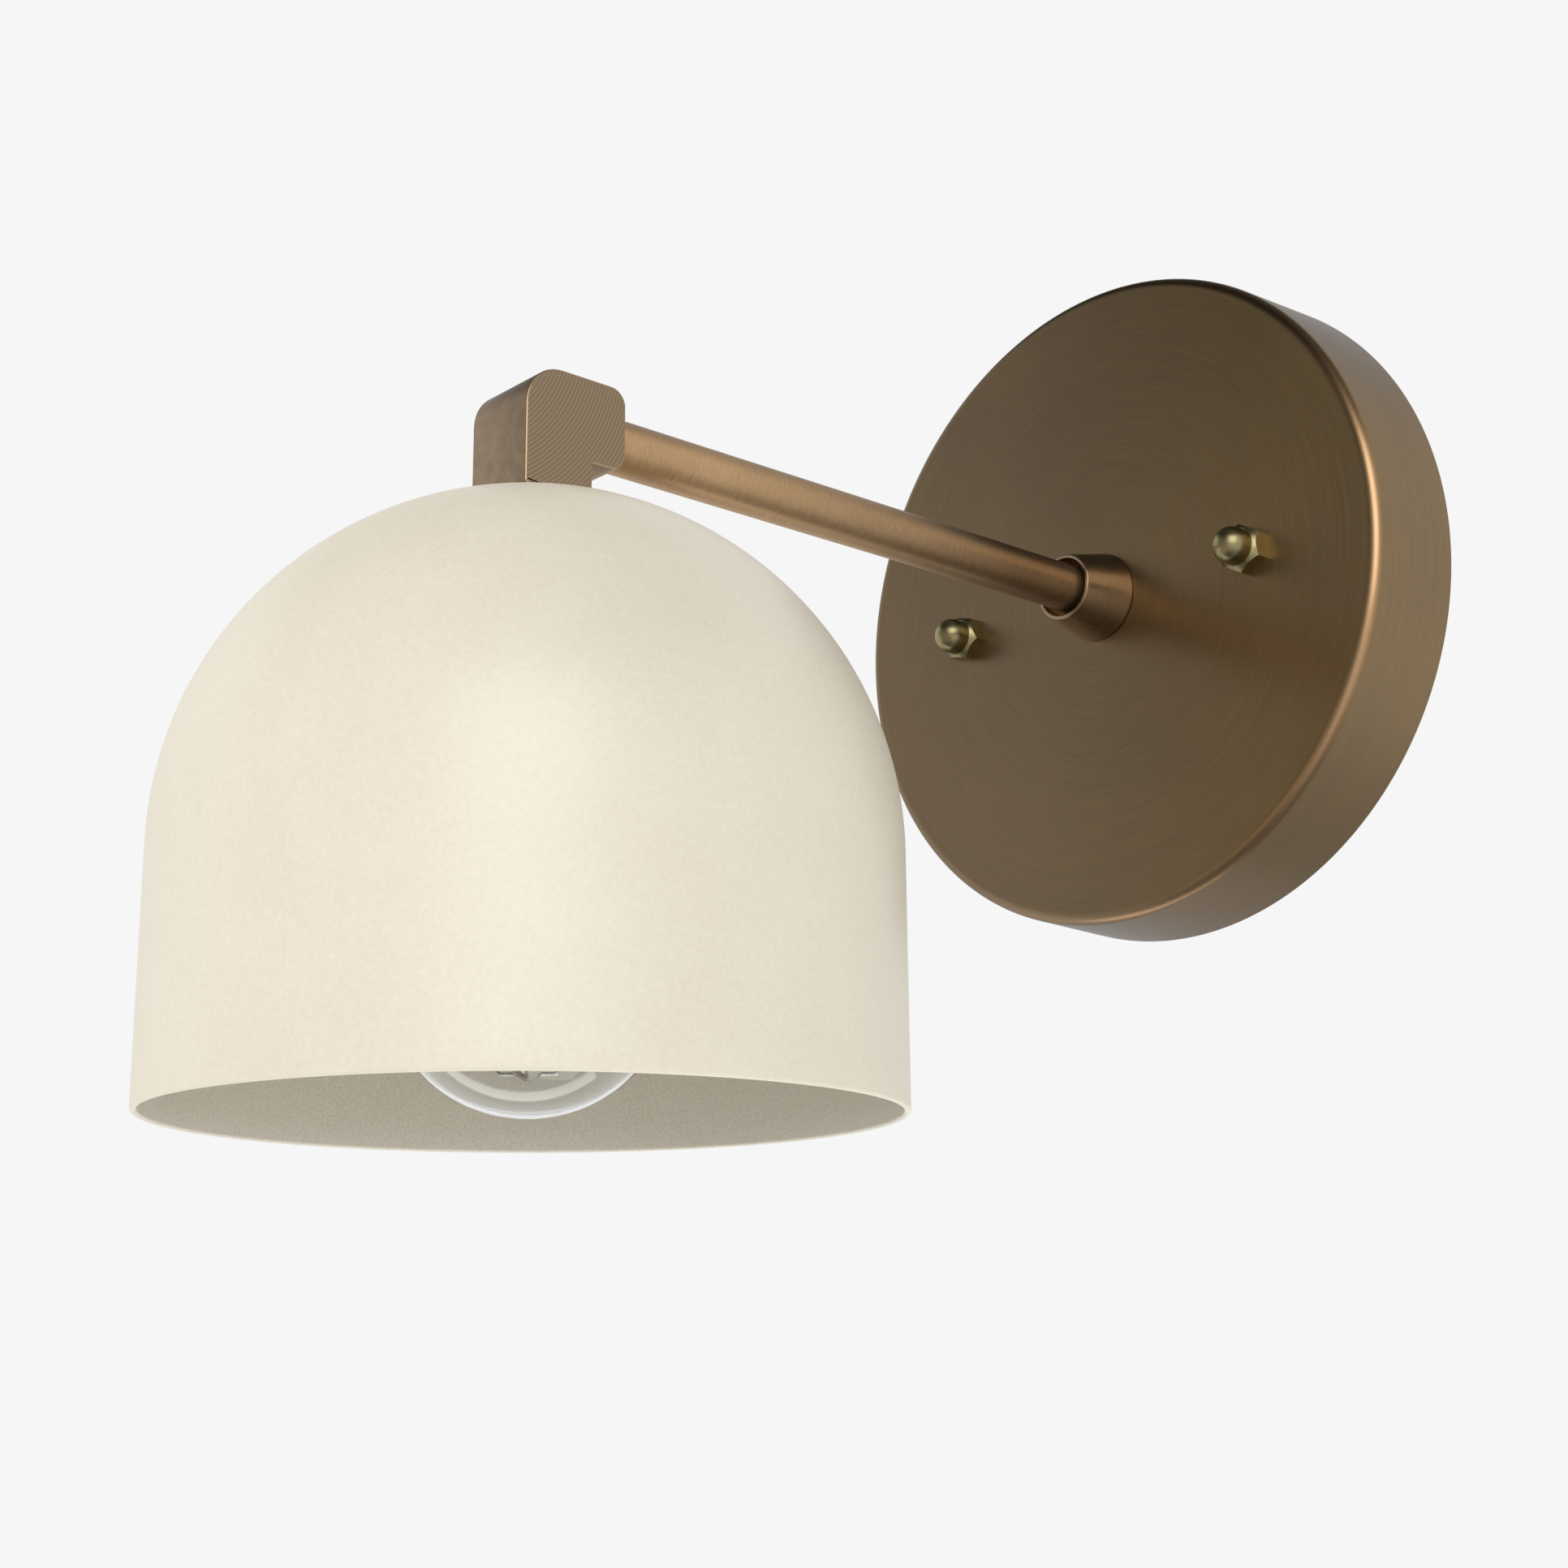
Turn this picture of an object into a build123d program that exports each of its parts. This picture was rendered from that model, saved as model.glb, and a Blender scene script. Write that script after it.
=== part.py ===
from build123d import *
from math import atan2, ceil, degrees, sqrt
import os

# Dome wall sconce: a round canopy on the wall, a straight arm, an elbow block, a dome shade and a globe lamp.
# Millimetres. The origin is on the wall at the canopy's centre, +Z is up and -Y points into the room.

# Canopy, the shallow round cup against the wall
canopy_radius = 63.5
canopy_front_radius = 62.6
canopy_depth = 21.2
canopy_edge_radius = 2.0
canopy_wall = 1.2

# Mounting plate, studs and nuts that hold the canopy
plate_radius = 51.0
plate_thickness = 1.6
plate_wire_hole_radius = 14.0
box_screw_spacing_min = 69.85
box_screw_spacing_max = 88.9
box_screw_hole_radius = 2.4
stud_spacing = 69.85
stud_radius = 2.08
stud_grip = 4.4
stud_nut_flats = 8.7
stud_nut_height = 3.2
cap_nut_flats = 8.0
cap_nut_hex_height = 3.0
cap_nut_dome_radius = 3.4
cap_nut_dome_centre = 4.4
cap_nut_left_turn = 18.0
cap_nut_bevel = 1.1
cap_nut_shoulder = 0.15
nut_bevel = 0.5

# Earth screw, lug and lead
earth_screw_radius = 2.4
earth_screw_head_radius = 4.6
earth_screw_head_height = 2.4
earth_screw_reach = 24.0
earth_lead_radius = 0.8
lug_thickness = 0.8
lug_ring_radius = 7.0
lug_barrel_radius = 1.7
lug_barrel_length = 7.0

# Arm, its threaded ends and the collar at its foot
arm_projection = 152.4
arm_radius = 4.4
arm_bore_radius = 2.7
thread_radius = 4.0
arm_thread_in_block = 8.0
thread_end_past_nut = 2.0
collar_base_radius = 8.6
collar_tip_radius = 6.2
collar_length = 10.3
collar_lip = 0.65
collar_web = 4.0
lock_washer_radius = 7.2
lock_washer_thickness = 1.2
pipe_nut_flats = 12.7
pipe_nut_height = 3.4

# Elbow block, an L-shaped bar that carries the shade on its upright leg
block_width = 14.2
block_front_of_axis = 7.35
block_leg_behind_axis = 5.15
block_back_of_axis = 11.5
block_rise = 6.35
block_arm_leg_drop = 7.35
block_drop = 14.3
block_front_top_radius = 6.8
block_back_radius = 2.8
block_foot_chamfer = 1.2
block_wire_bore_radius = 2.9

# Shade: a straight skirt under a half sphere with a small flat seat on top
shade_radius = 55.25
shade_skirt = 38.1
shade_wall = 1.0
shade_seat_radius = 8.0
shade_washer_thickness = 1.2

# Nipple that clamps block, shade and socket together
nipple_bore_radius = 2.6
nipple_in_block = 8.6
nipple_past_cap = 2.6

# Lamp holder
socket_radius = 17.0
socket_cap_height = 14.0
socket_cap_top = 2.2
socket_cap_wall = 1.3
socket_cap_edge_radius = 4.0
socket_skirt = 25.6
socket_spigot = 2.4
socket_floor = 6.0
socket_mouth_radius = 1.0
socket_shell_wall = 0.7
socket_shell_flange = 0.6
socket_shell_flange_bore = 9.0
contact_pad_width = 6.0
contact_thickness = 0.7
contact_tongue_drop = 1.5
terminal_post_radius = 1.5
terminal_plate_thickness = 0.8
terminal_plate_width = 6.0
terminal_screw_offset = 8.2
terminal_screw_radius = 1.5
terminal_screw_head_radius = 2.6
terminal_screw_head_height = 1.8
terminal_screw_length = 4.0
hot_post_offset = 2.4
shell_post_offset = 11.6
cap_screw_offset = 12.0
cap_screw_radius = 1.4
cap_screw_head_radius = 2.4
cap_screw_head_height = 1.4

# Lamp: screw base and globe
lamp_length = 68.0
globe_radius = 22.2
globe_wall = 0.5
globe_neck_radius = 11.4
globe_neck_blend = 6.0
globe_neck_in_base = 4.0
base_contact_radius = 4.6
base_contact_height = 1.4
base_insulator_height = 2.8
base_insulator_radius = 11.2
base_thread_radius = 12.75
base_thread_depth = 0.45
base_thread_pitch = 3.629
base_thread_turns = 4
thread_sections_per_turn = 6
base_neck_taper = 1.0
base_collar_radius = 13.3
base_collar_height = 4.2
base_wall = 0.4
lamp_board_radius = 10.4
lamp_board_thickness = 1.2
lamp_capacitor_radius = 3.2
lamp_capacitor_height = 8.0
lamp_choke_radius = 2.4
lamp_choke_height = 6.0
stem_flare_height = 8.0
stem_rod_radius = 2.2
stem_rod_length = 32.3
stem_tip_radius = 2.5
filament_count = 4
filament_ring_radius = 4.6
filament_radius = 0.8
filament_length = 25.0
filament_foot_rise = 0.6
filament_tab = 2.0
filament_wire_radius = 0.3
filament_wire_bend = 0.8
filament_wire_embed = 0.8

# Insulated leads and their twist-on connectors
lead_radius = 0.95
lead_spacing = 2.3
lead_corner_radius = 3.2
lead_bend_radius = 4.0
lead_drop = 16.0
lead_stand_off = 8.0
lead_terminal_offset = 3.9
connector_radius = 5.0
connector_tip_radius = 3.6
connector_length = 20.0
connector_mouth = 9.0
connector_grip = 11.0

# Clearances
thread_fit = 0.05
slip_fit = 0.1
hole_clearance = 0.3
screw_clearance = 0.3
contact_gap = 0.1

# Places along the arm, as distances out from the wall
canopy_inside = canopy_depth - canopy_wall
lug_face = canopy_inside - lock_washer_thickness
pipe_nut_face = lug_face - lug_thickness
pipe_nut_back = pipe_nut_face - pipe_nut_height
arm_rear = pipe_nut_back - thread_end_past_nut
arm_shoulder = canopy_depth + collar_web
collar_tip = canopy_depth + collar_length
block_back = arm_projection - block_back_of_axis
arm_front = block_back + arm_thread_in_block

# Heights of the shade and lamp holder
shade_seat_z = -block_drop
dome_centre_z = shade_seat_z - sqrt(shade_radius**2 - shade_seat_radius**2)
rim_z = dome_centre_z - shade_skirt
shade_under_z = shade_seat_z - shade_wall
shade_washer_z = shade_under_z - shade_washer_thickness
socket_top_z = shade_washer_z - pipe_nut_height
nipple_top_z = shade_seat_z + nipple_in_block
nipple_foot_z = socket_top_z - socket_cap_top - nipple_past_cap
cap_foot_z = socket_top_z - socket_cap_height
body_top_z = cap_foot_z + socket_spigot
floor_z = body_top_z - socket_floor
mouth_z = cap_foot_z - socket_skirt
plate_top_z = body_top_z + terminal_plate_thickness

# Heights of the lamp
lamp_tip_z = floor_z - contact_tongue_drop - contact_gap
lamp_foot_z = lamp_tip_z - lamp_length
globe_z = lamp_foot_z + globe_radius
insulator_z = lamp_tip_z - base_contact_height
shell_top_z = insulator_z - base_insulator_height
thread_top_z = shell_top_z - base_neck_taper
thread_foot_z = thread_top_z - base_thread_pitch * base_thread_turns
collar_foot_z = thread_foot_z - base_collar_height
globe_neck_top_z = collar_foot_z + globe_neck_in_base
base_bore_radius = base_thread_radius - base_thread_depth - base_wall
socket_shell_foot_z = thread_foot_z + screw_clearance
socket_bore_radius = base_thread_radius + screw_clearance + base_thread_depth + socket_shell_wall

# Frames: "wall" has its height pointing out from the wall, "shade_axis" stands on the middle of the shade
wall = Location(Plane(origin=(0, 0, 0), x_dir=(1, 0, 0), z_dir=(0, -1, 0)))
shade_axis = Location((0, -arm_projection, 0))


def turned(*outline):
    """Solid turned about Z from a closed outline of (radius, height) corners."""
    profile = make_face(Polyline(*[(radius, 0, height) for radius, height in outline], close=True))
    return revolve(profile, Axis.Z)


def rod(radius, start, end, x=0.0, y=0.0):
    """Round bar along Z between two heights."""
    low = min(start, end)
    return Pos(x, y, low) * Cylinder(radius, abs(end - start), align=(Align.CENTER, Align.CENTER, Align.MIN))


def ring(outer_radius, inner_radius, start, end):
    """Round washer or sleeve along Z between two heights."""
    return rod(outer_radius, start, end) - rod(inner_radius, start, end)


def hex_bar(flats, height, bevel, top_radius, turn=0.0):
    """Six-sided bar standing on the XY plane, two flats facing along X, its corners bevelled from a round top."""
    section = RegularPolygon(flats / 2, 6, major_radius=False, rotation=30 + turn)
    spread = flats / sqrt(3) - top_radius
    cone = turned((0, 0), (top_radius + spread * height / bevel, 0), (top_radius, height), (0, height))
    return extrude(section, height) & cone


def hex_nut(flats, height, bore):
    """Plain six-sided nut standing on the XY plane."""
    return hex_bar(flats, height, nut_bevel, flats / 2) - rod(bore, 0, height)


def wire(radius, points, radii):
    """Round wire along straight runs joined by tangent arcs."""
    path = FilletPolyline(*points, radius=radii)
    return sweep(Plane(path @ 0, z_dir=path % 0) * Circle(radius), path)


def screw_body(radius, height, start_turn=0.0):
    """Right-handed screw thread: circles set off the axis, each turned on from the last and lofted together."""
    steps = ceil(height / base_thread_pitch * thread_sections_per_turn)
    sections = []
    for step in range(steps + 1):
        rise = height * step / steps
        turn = start_turn + 360 * rise / base_thread_pitch
        sections.append(Rot(0, 0, turn) * Pos(base_thread_depth, 0, rise) * Rot(0, 0, -turn) * Circle(radius))
    return loft(sections)


def canopy():
    """Spun cup, a little wider at the wall, with a rolled front edge, a hole for the arm and two for the studs."""
    cup = turned((0, 0), (canopy_radius, 0), (canopy_front_radius, canopy_depth), (0, canopy_depth))
    cup = fillet(cup.edges().group_by(Axis.Z)[-1], canopy_edge_radius)
    inner_radius, inner_front_radius = canopy_radius - canopy_wall, canopy_front_radius - canopy_wall
    hollow = turned((0, 0), (inner_radius, 0), (inner_front_radius, canopy_inside), (0, canopy_inside))
    hollow = fillet(hollow.edges().group_by(Axis.Z)[-1], canopy_edge_radius - canopy_wall)
    cup -= hollow
    cup -= rod(thread_radius + thread_fit, 0, canopy_depth)
    for side in (-1, 1):
        cup -= rod(stud_radius + hole_clearance, 0, canopy_depth, side * stud_spacing / 2)
    return wall * cup


def mounting_plate():
    """Round steel plate with slots for the wall box's screws and threaded holes for the studs."""
    plate = ring(plate_radius, plate_wire_hole_radius, 0, plate_thickness)
    slot_run = (box_screw_spacing_max - box_screw_spacing_min) / 2
    slot_middle = (box_screw_spacing_max + box_screw_spacing_min) / 4
    slot = SlotCenterToCenter(slot_run, 2 * box_screw_hole_radius, rotation=90)
    for side in (-1, 1):
        plate -= rod(stud_radius + thread_fit, 0, plate_thickness, side * stud_spacing / 2)
        plate -= Pos(0, side * slot_middle, 0) * extrude(slot, plate_thickness)
    plate -= rod(earth_screw_radius + thread_fit, 0, plate_thickness, earth_screw_reach, earth_screw_reach)
    return wall * plate


def fixture_studs():
    """Two threaded studs from the mounting plate through the canopy into the cap nuts."""
    return [wall * rod(stud_radius, 0, canopy_depth + stud_grip, side * stud_spacing / 2) for side in (-1, 1)]


def stud_lock_nuts():
    """Two nuts that lock the studs on the mounting plate."""
    nut = hex_nut(stud_nut_flats, stud_nut_height, stud_radius + thread_fit)
    return [wall * Pos(side * stud_spacing / 2, 0, plate_thickness) * nut for side in (-1, 1)]


def cap_nuts():
    """Two domed nuts on the canopy's face, each with a blind thread."""
    nuts = []
    for side, turn in ((-1, cap_nut_left_turn), (1, 0.0)):
        top_radius = cap_nut_dome_radius + cap_nut_shoulder
        nut = hex_bar(cap_nut_flats, cap_nut_hex_height, cap_nut_bevel, top_radius, turn)
        nut += rod(cap_nut_dome_radius, 0, cap_nut_dome_centre)
        nut += Pos(0, 0, cap_nut_dome_centre) * Sphere(cap_nut_dome_radius)
        nut &= rod(cap_nut_flats, 0, cap_nut_dome_centre + cap_nut_dome_radius)
        nut -= rod(stud_radius + thread_fit, 0, stud_grip + slip_fit)
        nuts.append(wall * Pos(side * stud_spacing / 2, 0, canopy_depth) * nut)
    return nuts


def earth_screw():
    """Domed earth screw in the mounting plate."""
    head_top = plate_thickness + earth_screw_head_height
    screw = rod(earth_screw_radius, 0, plate_thickness)
    head = rod(earth_screw_head_radius, plate_thickness, head_top)
    head = fillet(head.edges().group_by(Axis.Z)[-1], earth_screw_head_height / 2)
    slot = Box(2 * earth_screw_head_radius, earth_screw_head_height / 3, earth_screw_head_height)
    head -= Pos(0, 0, head_top) * slot
    return wall * Pos(earth_screw_reach, earth_screw_reach, 0) * (screw + head)


def earth_lug():
    """Crimp lug clamped under the pipe nut, with its barrel pointing up."""
    lug = ring(lug_ring_radius, thread_radius + thread_fit, pipe_nut_face, lug_face)
    foot = lug_ring_radius - lug_barrel_radius
    top = lug_ring_radius + lug_barrel_length
    tail = Box(2 * lug_barrel_radius, top - foot, lug_thickness, align=(Align.CENTER, Align.MIN, Align.MIN))
    lug += Pos(0, foot, pipe_nut_face) * tail
    barrel = rod(lug_barrel_radius, lug_ring_radius + lug_thickness, top)
    barrel = Pos(0, 0, pipe_nut_face + lug_thickness - lug_barrel_radius) * Rot(-90, 0, 0) * barrel
    bore = rod(earth_lead_radius + thread_fit, lug_ring_radius + lug_thickness, top)
    bore = Pos(0, 0, pipe_nut_face + lug_thickness - lug_barrel_radius) * Rot(-90, 0, 0) * bore
    return wall * (lug + barrel - bore)


def earth_lead():
    """Bare earth wire from the lug's barrel to the mounting plate beside the earth screw."""
    barrel_out = pipe_nut_face + lug_thickness - lug_barrel_radius
    lug_top = lug_ring_radius + lug_barrel_length
    end_x = earth_screw_reach + earth_screw_head_radius + 2 * earth_lead_radius
    half_way = (barrel_out + plate_thickness) / 2
    points = [
        (0, -barrel_out, lug_top - lug_barrel_length / 2),
        (0, -barrel_out, earth_screw_reach),
        (end_x, -half_way, earth_screw_reach),
        (end_x, -plate_thickness, earth_screw_reach),
    ]
    return wire(earth_lead_radius, points, [lead_bend_radius, lead_bend_radius / 2])


def arm_tube():
    """Arm with a threaded, turned-down end at each side and a bore for the leads."""
    tube = rod(arm_radius, arm_shoulder, block_back)
    tube += rod(thread_radius, arm_rear, arm_shoulder)
    tube += rod(thread_radius, block_back, arm_front)
    tube -= rod(arm_bore_radius, arm_rear, arm_front)
    return wall * tube


def arm_collar():
    """Tapered collar at the foot of the arm, counterbored so that the arm drops into a thin lip."""
    collar = turned(
        (0, canopy_depth),
        (collar_base_radius, canopy_depth),
        (collar_tip_radius, collar_tip),
        (0, collar_tip),
    )
    collar -= rod(collar_tip_radius - collar_lip, arm_shoulder, collar_tip)
    collar -= rod(thread_radius + thread_fit, canopy_depth, arm_shoulder)
    return wall * collar


def lock_washer():
    """Washer between the canopy and the earth lug."""
    return wall * ring(lock_washer_radius, thread_radius + thread_fit, lug_face, canopy_inside)


def pipe_nut():
    """Nut that clamps canopy and collar against the arm's shoulder."""
    nut = hex_nut(pipe_nut_flats, pipe_nut_height, thread_radius + thread_fit)
    return wall * Pos(0, 0, pipe_nut_back) * nut


def elbow_block():
    """L-shaped brass block, bored from the back for the arm and from below for the nipple."""
    front = -arm_projection - block_front_of_axis
    leg_back = -arm_projection + block_leg_behind_axis
    corners = [
        (0, front, shade_seat_z),
        (0, front, block_rise),
        (0, -block_back, block_rise),
        (0, -block_back, -block_arm_leg_drop),
        (0, leg_back, -block_arm_leg_drop),
        (0, leg_back, shade_seat_z),
    ]
    profile = make_face(Polyline(*corners, close=True))
    block = extrude(profile, block_width / 2, dir=(1, 0, 0), both=True)
    edges = block.edges().filter_by(Axis.X)
    front_top = edges.filter_by(lambda edge: edge.center().Y < leg_back and edge.center().Z > 0)
    back_pair = edges.filter_by(lambda edge: edge.center().Y > leg_back + thread_fit)
    front_foot = edges.filter_by(lambda edge: edge.center().Y < leg_back - thread_fit and edge.center().Z < 0)
    block = fillet(front_top, block_front_top_radius)
    block = fillet(edges_like(block, back_pair), block_back_radius)
    block = chamfer(edges_like(block, front_foot), block_foot_chamfer)
    block -= wall * rod(thread_radius + thread_fit, block_back, arm_front + slip_fit)
    block -= wall * rod(block_wire_bore_radius, arm_front, arm_projection)
    block -= shade_axis * rod(thread_radius + thread_fit, shade_seat_z, nipple_top_z + slip_fit)
    block -= shade_axis * rod(block_wire_bore_radius, nipple_top_z, 0)
    return block - shade_axis * Sphere(block_wire_bore_radius)


def edges_like(solid, wanted):
    """The edges of a solid that lie where the wanted ones were."""
    places = [edge.center() for edge in wanted]
    return solid.edges().filter_by(lambda edge: any((edge.center() - place).length < slip_fit for place in places))


def shade():
    """Spun shade: straight skirt, half-sphere dome and a flat seat with a hole for the nipple."""
    outer = Pos(0, 0, dome_centre_z) * Sphere(shade_radius) + rod(shade_radius, rim_z, dome_centre_z)
    inner_radius = shade_radius - shade_wall
    inner = Pos(0, 0, dome_centre_z) * Sphere(inner_radius) + rod(inner_radius, rim_z, dome_centre_z)
    outer &= rod(shade_radius, rim_z, shade_seat_z)
    inner &= rod(inner_radius, rim_z, shade_under_z)
    shell = outer - inner - rod(thread_radius + hole_clearance, shade_under_z, shade_seat_z)
    return shade_axis * shell


def shade_nipple():
    """Threaded tube from the block through the shade into the lamp holder's cap."""
    return shade_axis * ring(thread_radius, nipple_bore_radius, nipple_foot_z, nipple_top_z)


def shade_washer():
    """Washer under the shade's seat."""
    flat_radius = sqrt((shade_radius - shade_wall) ** 2 - (shade_under_z - dome_centre_z) ** 2)
    washer = ring(flat_radius - slip_fit, thread_radius + hole_clearance, shade_washer_z, shade_under_z)
    return shade_axis * washer


def shade_nut():
    """Nut that clamps the shade against the block."""
    nut = hex_nut(pipe_nut_flats, pipe_nut_height, thread_radius + thread_fit)
    return shade_axis * Pos(0, 0, socket_top_z) * nut


def socket_cap():
    """Cup-shaped cap of the lamp holder, threaded on the nipple, with holes for its two screws."""
    cap = rod(socket_radius, cap_foot_z, socket_top_z)
    cap = fillet(cap.edges().group_by(Axis.Z)[-1], socket_cap_edge_radius)
    cap -= rod(socket_radius - socket_cap_wall, cap_foot_z, socket_top_z - socket_cap_top)
    cap -= rod(thread_radius + thread_fit, cap_foot_z, socket_top_z)
    for side in (-1, 1):
        cap -= rod(cap_screw_radius + thread_fit, cap_foot_z, socket_top_z, 0, side * cap_screw_offset)
    return shade_axis * cap


def socket_cap_screws():
    """Two screws down through the cap into the lamp holder's body."""
    screws = []
    for side in (-1, 1):
        y = side * cap_screw_offset
        screw = rod(cap_screw_radius, floor_z + socket_floor / 2, socket_top_z, 0, y)
        screw += rod(cap_screw_head_radius, socket_top_z, socket_top_z + cap_screw_head_height, 0, y)
        screws.append(shade_axis * screw)
    return screws


def socket_body():
    """Ceramic body: a floor that carries the contacts and a round well for the lamp base."""
    body = rod(socket_radius, mouth_z, cap_foot_z)
    body = fillet(body.edges().group_by(Axis.Z)[0], socket_mouth_radius)
    body += rod(socket_radius - socket_cap_wall - slip_fit, cap_foot_z, body_top_z)
    body -= rod(socket_bore_radius + slip_fit, mouth_z, floor_z)
    body -= rod(terminal_post_radius + thread_fit, floor_z, body_top_z, hot_post_offset)
    body -= rod(terminal_post_radius + thread_fit, floor_z, body_top_z, -shell_post_offset)
    for side in (-1, 1):
        screw_end = body_top_z - terminal_screw_length
        body -= rod(terminal_screw_radius + thread_fit, screw_end, body_top_z, side * terminal_screw_offset)
        screw_end = floor_z + socket_floor / 2
        body -= rod(cap_screw_radius + thread_fit, screw_end, body_top_z, 0, side * cap_screw_offset)
    return shade_axis * body


def terminal_plate(inner_x, outer_x, screw_x):
    """Terminal strip on the body's floor, with a hole for its screw."""
    length = abs(outer_x - inner_x)
    middle = (outer_x + inner_x) / 2
    strip = Box(length, terminal_plate_width, terminal_plate_thickness)
    strip = Pos(middle, 0, body_top_z + terminal_plate_thickness / 2) * strip
    return strip - rod(terminal_screw_radius + thread_fit, body_top_z, plate_top_z, screw_x)


def socket_screw_shell():
    """Threaded shell that takes the lamp base, with a post up to the neutral terminal."""
    shell = rod(socket_bore_radius, socket_shell_foot_z, floor_z)
    height = floor_z - socket_shell_flange - socket_shell_foot_z
    start_turn = 360 * (socket_shell_foot_z - thread_foot_z) / base_thread_pitch
    thread = screw_body(base_thread_radius + screw_clearance, height, start_turn)
    shell -= Pos(0, 0, socket_shell_foot_z) * thread
    shell -= rod(socket_shell_flange_bore, floor_z - socket_shell_flange, floor_z)
    shell += rod(terminal_post_radius, floor_z, body_top_z, -shell_post_offset)
    outer_x = -shell_post_offset - terminal_post_radius
    inner_x = -lead_terminal_offset + 2 * lead_radius
    shell += terminal_plate(inner_x, outer_x, -terminal_screw_offset)
    return shade_axis * shell


def socket_centre_contact():
    """Spring contact on the body's floor, with a post up to the live terminal."""
    pad = Box(2 * hot_post_offset + contact_pad_width, contact_pad_width, contact_thickness)
    contact = Pos(0, 0, floor_z - contact_thickness / 2) * pad
    contact += rod(contact_pad_width / 2, floor_z - contact_tongue_drop, floor_z)
    contact += rod(terminal_post_radius, floor_z, body_top_z, hot_post_offset)
    inner_x = hot_post_offset - terminal_post_radius
    outer_x = terminal_screw_offset + terminal_screw_head_radius
    contact += terminal_plate(inner_x, outer_x, terminal_screw_offset)
    return shade_axis * contact


def socket_terminal_screws():
    """Two screws that clamp the leads on the terminal strips."""
    screws = []
    for side in (-1, 1):
        x = side * terminal_screw_offset
        screw = rod(terminal_screw_radius, body_top_z - terminal_screw_length, plate_top_z, x)
        screw += rod(terminal_screw_head_radius, plate_top_z, plate_top_z + terminal_screw_head_height, x)
        screws.append(shade_axis * screw)
    return screws


def globe_outline(inset):
    """Half outline of the globe and neck, drawn in by an inset, closed along the axis."""
    radius = globe_radius - inset
    neck = globe_neck_radius - inset
    blend = globe_neck_blend + inset
    blend_x = neck + blend
    blend_z = globe_z + sqrt((radius + blend) ** 2 - blend_x**2)
    meet_angle = degrees(atan2(blend_z - globe_z, blend_x))
    ball = CenterArc((0, globe_z), radius, -90, 90 + meet_angle)
    cove = CenterArc((blend_x, blend_z), blend, 180 + meet_angle, -meet_angle)
    top = globe_neck_top_z
    rest = Polyline(cove @ 1, (neck, top), (0, top), ball @ 0)
    return make_face(ball + cove + rest)


def globe_glass():
    """Thin glass globe that draws in to a neck inside the lamp base."""
    profile = Plane.XZ * (globe_outline(0) - globe_outline(globe_wall))
    return shade_axis * revolve(profile, Axis.Z)


def lamp_base_shell():
    """Screw base of the lamp: crimped top, rolled thread and a plain collar round the glass neck."""
    shell = Pos(0, 0, thread_foot_z) * screw_body(base_thread_radius, thread_top_z - thread_foot_z)
    root_radius = base_thread_radius - base_thread_depth - slip_fit
    shell += turned(
        (0, thread_top_z),
        (root_radius, thread_top_z),
        (base_insulator_radius + base_wall, shell_top_z),
        (0, shell_top_z),
    )
    shell += rod(base_collar_radius, collar_foot_z, thread_foot_z)
    shell -= rod(base_bore_radius, collar_foot_z, thread_top_z)
    shell -= rod(base_insulator_radius, thread_top_z, shell_top_z)
    return shade_axis * shell


def lamp_base_insulator():
    """Glass insulator that closes the top of the lamp base."""
    insulator = turned(
        (0, thread_top_z),
        (base_insulator_radius - thread_fit, thread_top_z),
        (base_insulator_radius - thread_fit, shell_top_z),
        (base_contact_radius, insulator_z),
        (0, insulator_z),
    )
    return shade_axis * insulator


def lamp_base_contact():
    """Domed contact at the tip of the lamp base."""
    contact = rod(base_contact_radius, insulator_z, lamp_tip_z)
    contact = fillet(contact.edges().group_by(Axis.Z)[-1], base_contact_height / 2)
    return shade_axis * contact


def lamp_driver():
    """Driver board in the lamp base, with its capacitor and choke."""
    board_foot = thread_top_z - lamp_board_thickness
    part_x = lamp_board_radius / 2
    board = rod(lamp_board_radius, board_foot, thread_top_z)
    capacitor = rod(lamp_capacitor_radius, board_foot - lamp_capacitor_height, board_foot, part_x)
    choke = rod(lamp_choke_radius, board_foot - lamp_choke_height, board_foot, -part_x)
    return [shade_axis * piece for piece in (board, capacitor, choke)]


def stem_heights():
    """Heights of the stem's flare top, flare foot and rod foot."""
    flare_top = globe_neck_top_z
    flare_foot = flare_top - stem_flare_height
    return flare_top, flare_foot, flare_foot - stem_rod_length


def globe_stem():
    """Glass mount: a flare that closes the neck, a rod and a melted tip."""
    flare_top, flare_foot, rod_foot = stem_heights()
    neck_bore = globe_neck_radius - globe_wall - thread_fit
    stem = turned(
        (0, flare_top),
        (neck_bore, flare_top),
        (neck_bore, flare_top - globe_wall),
        (stem_rod_radius, flare_foot),
        (stem_rod_radius, rod_foot),
        (0, rod_foot),
    )
    return shade_axis * (stem + Pos(0, 0, rod_foot) * Sphere(stem_tip_radius))


def filament_places():
    """Turned frames of the filaments round the stem."""
    return [Rot(0, 0, 45 + 360 / filament_count * number) for number in range(filament_count)]


def filament_ends():
    """Heights of the foot and head of every filament."""
    foot = stem_heights()[2] + filament_foot_rise
    return foot, foot + filament_length


def globe_filaments():
    """Straight light filaments that stand round the stem."""
    stick = rod(filament_radius, *filament_ends(), filament_ring_radius)
    return [shade_axis * place * stick for place in filament_places()]


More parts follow.
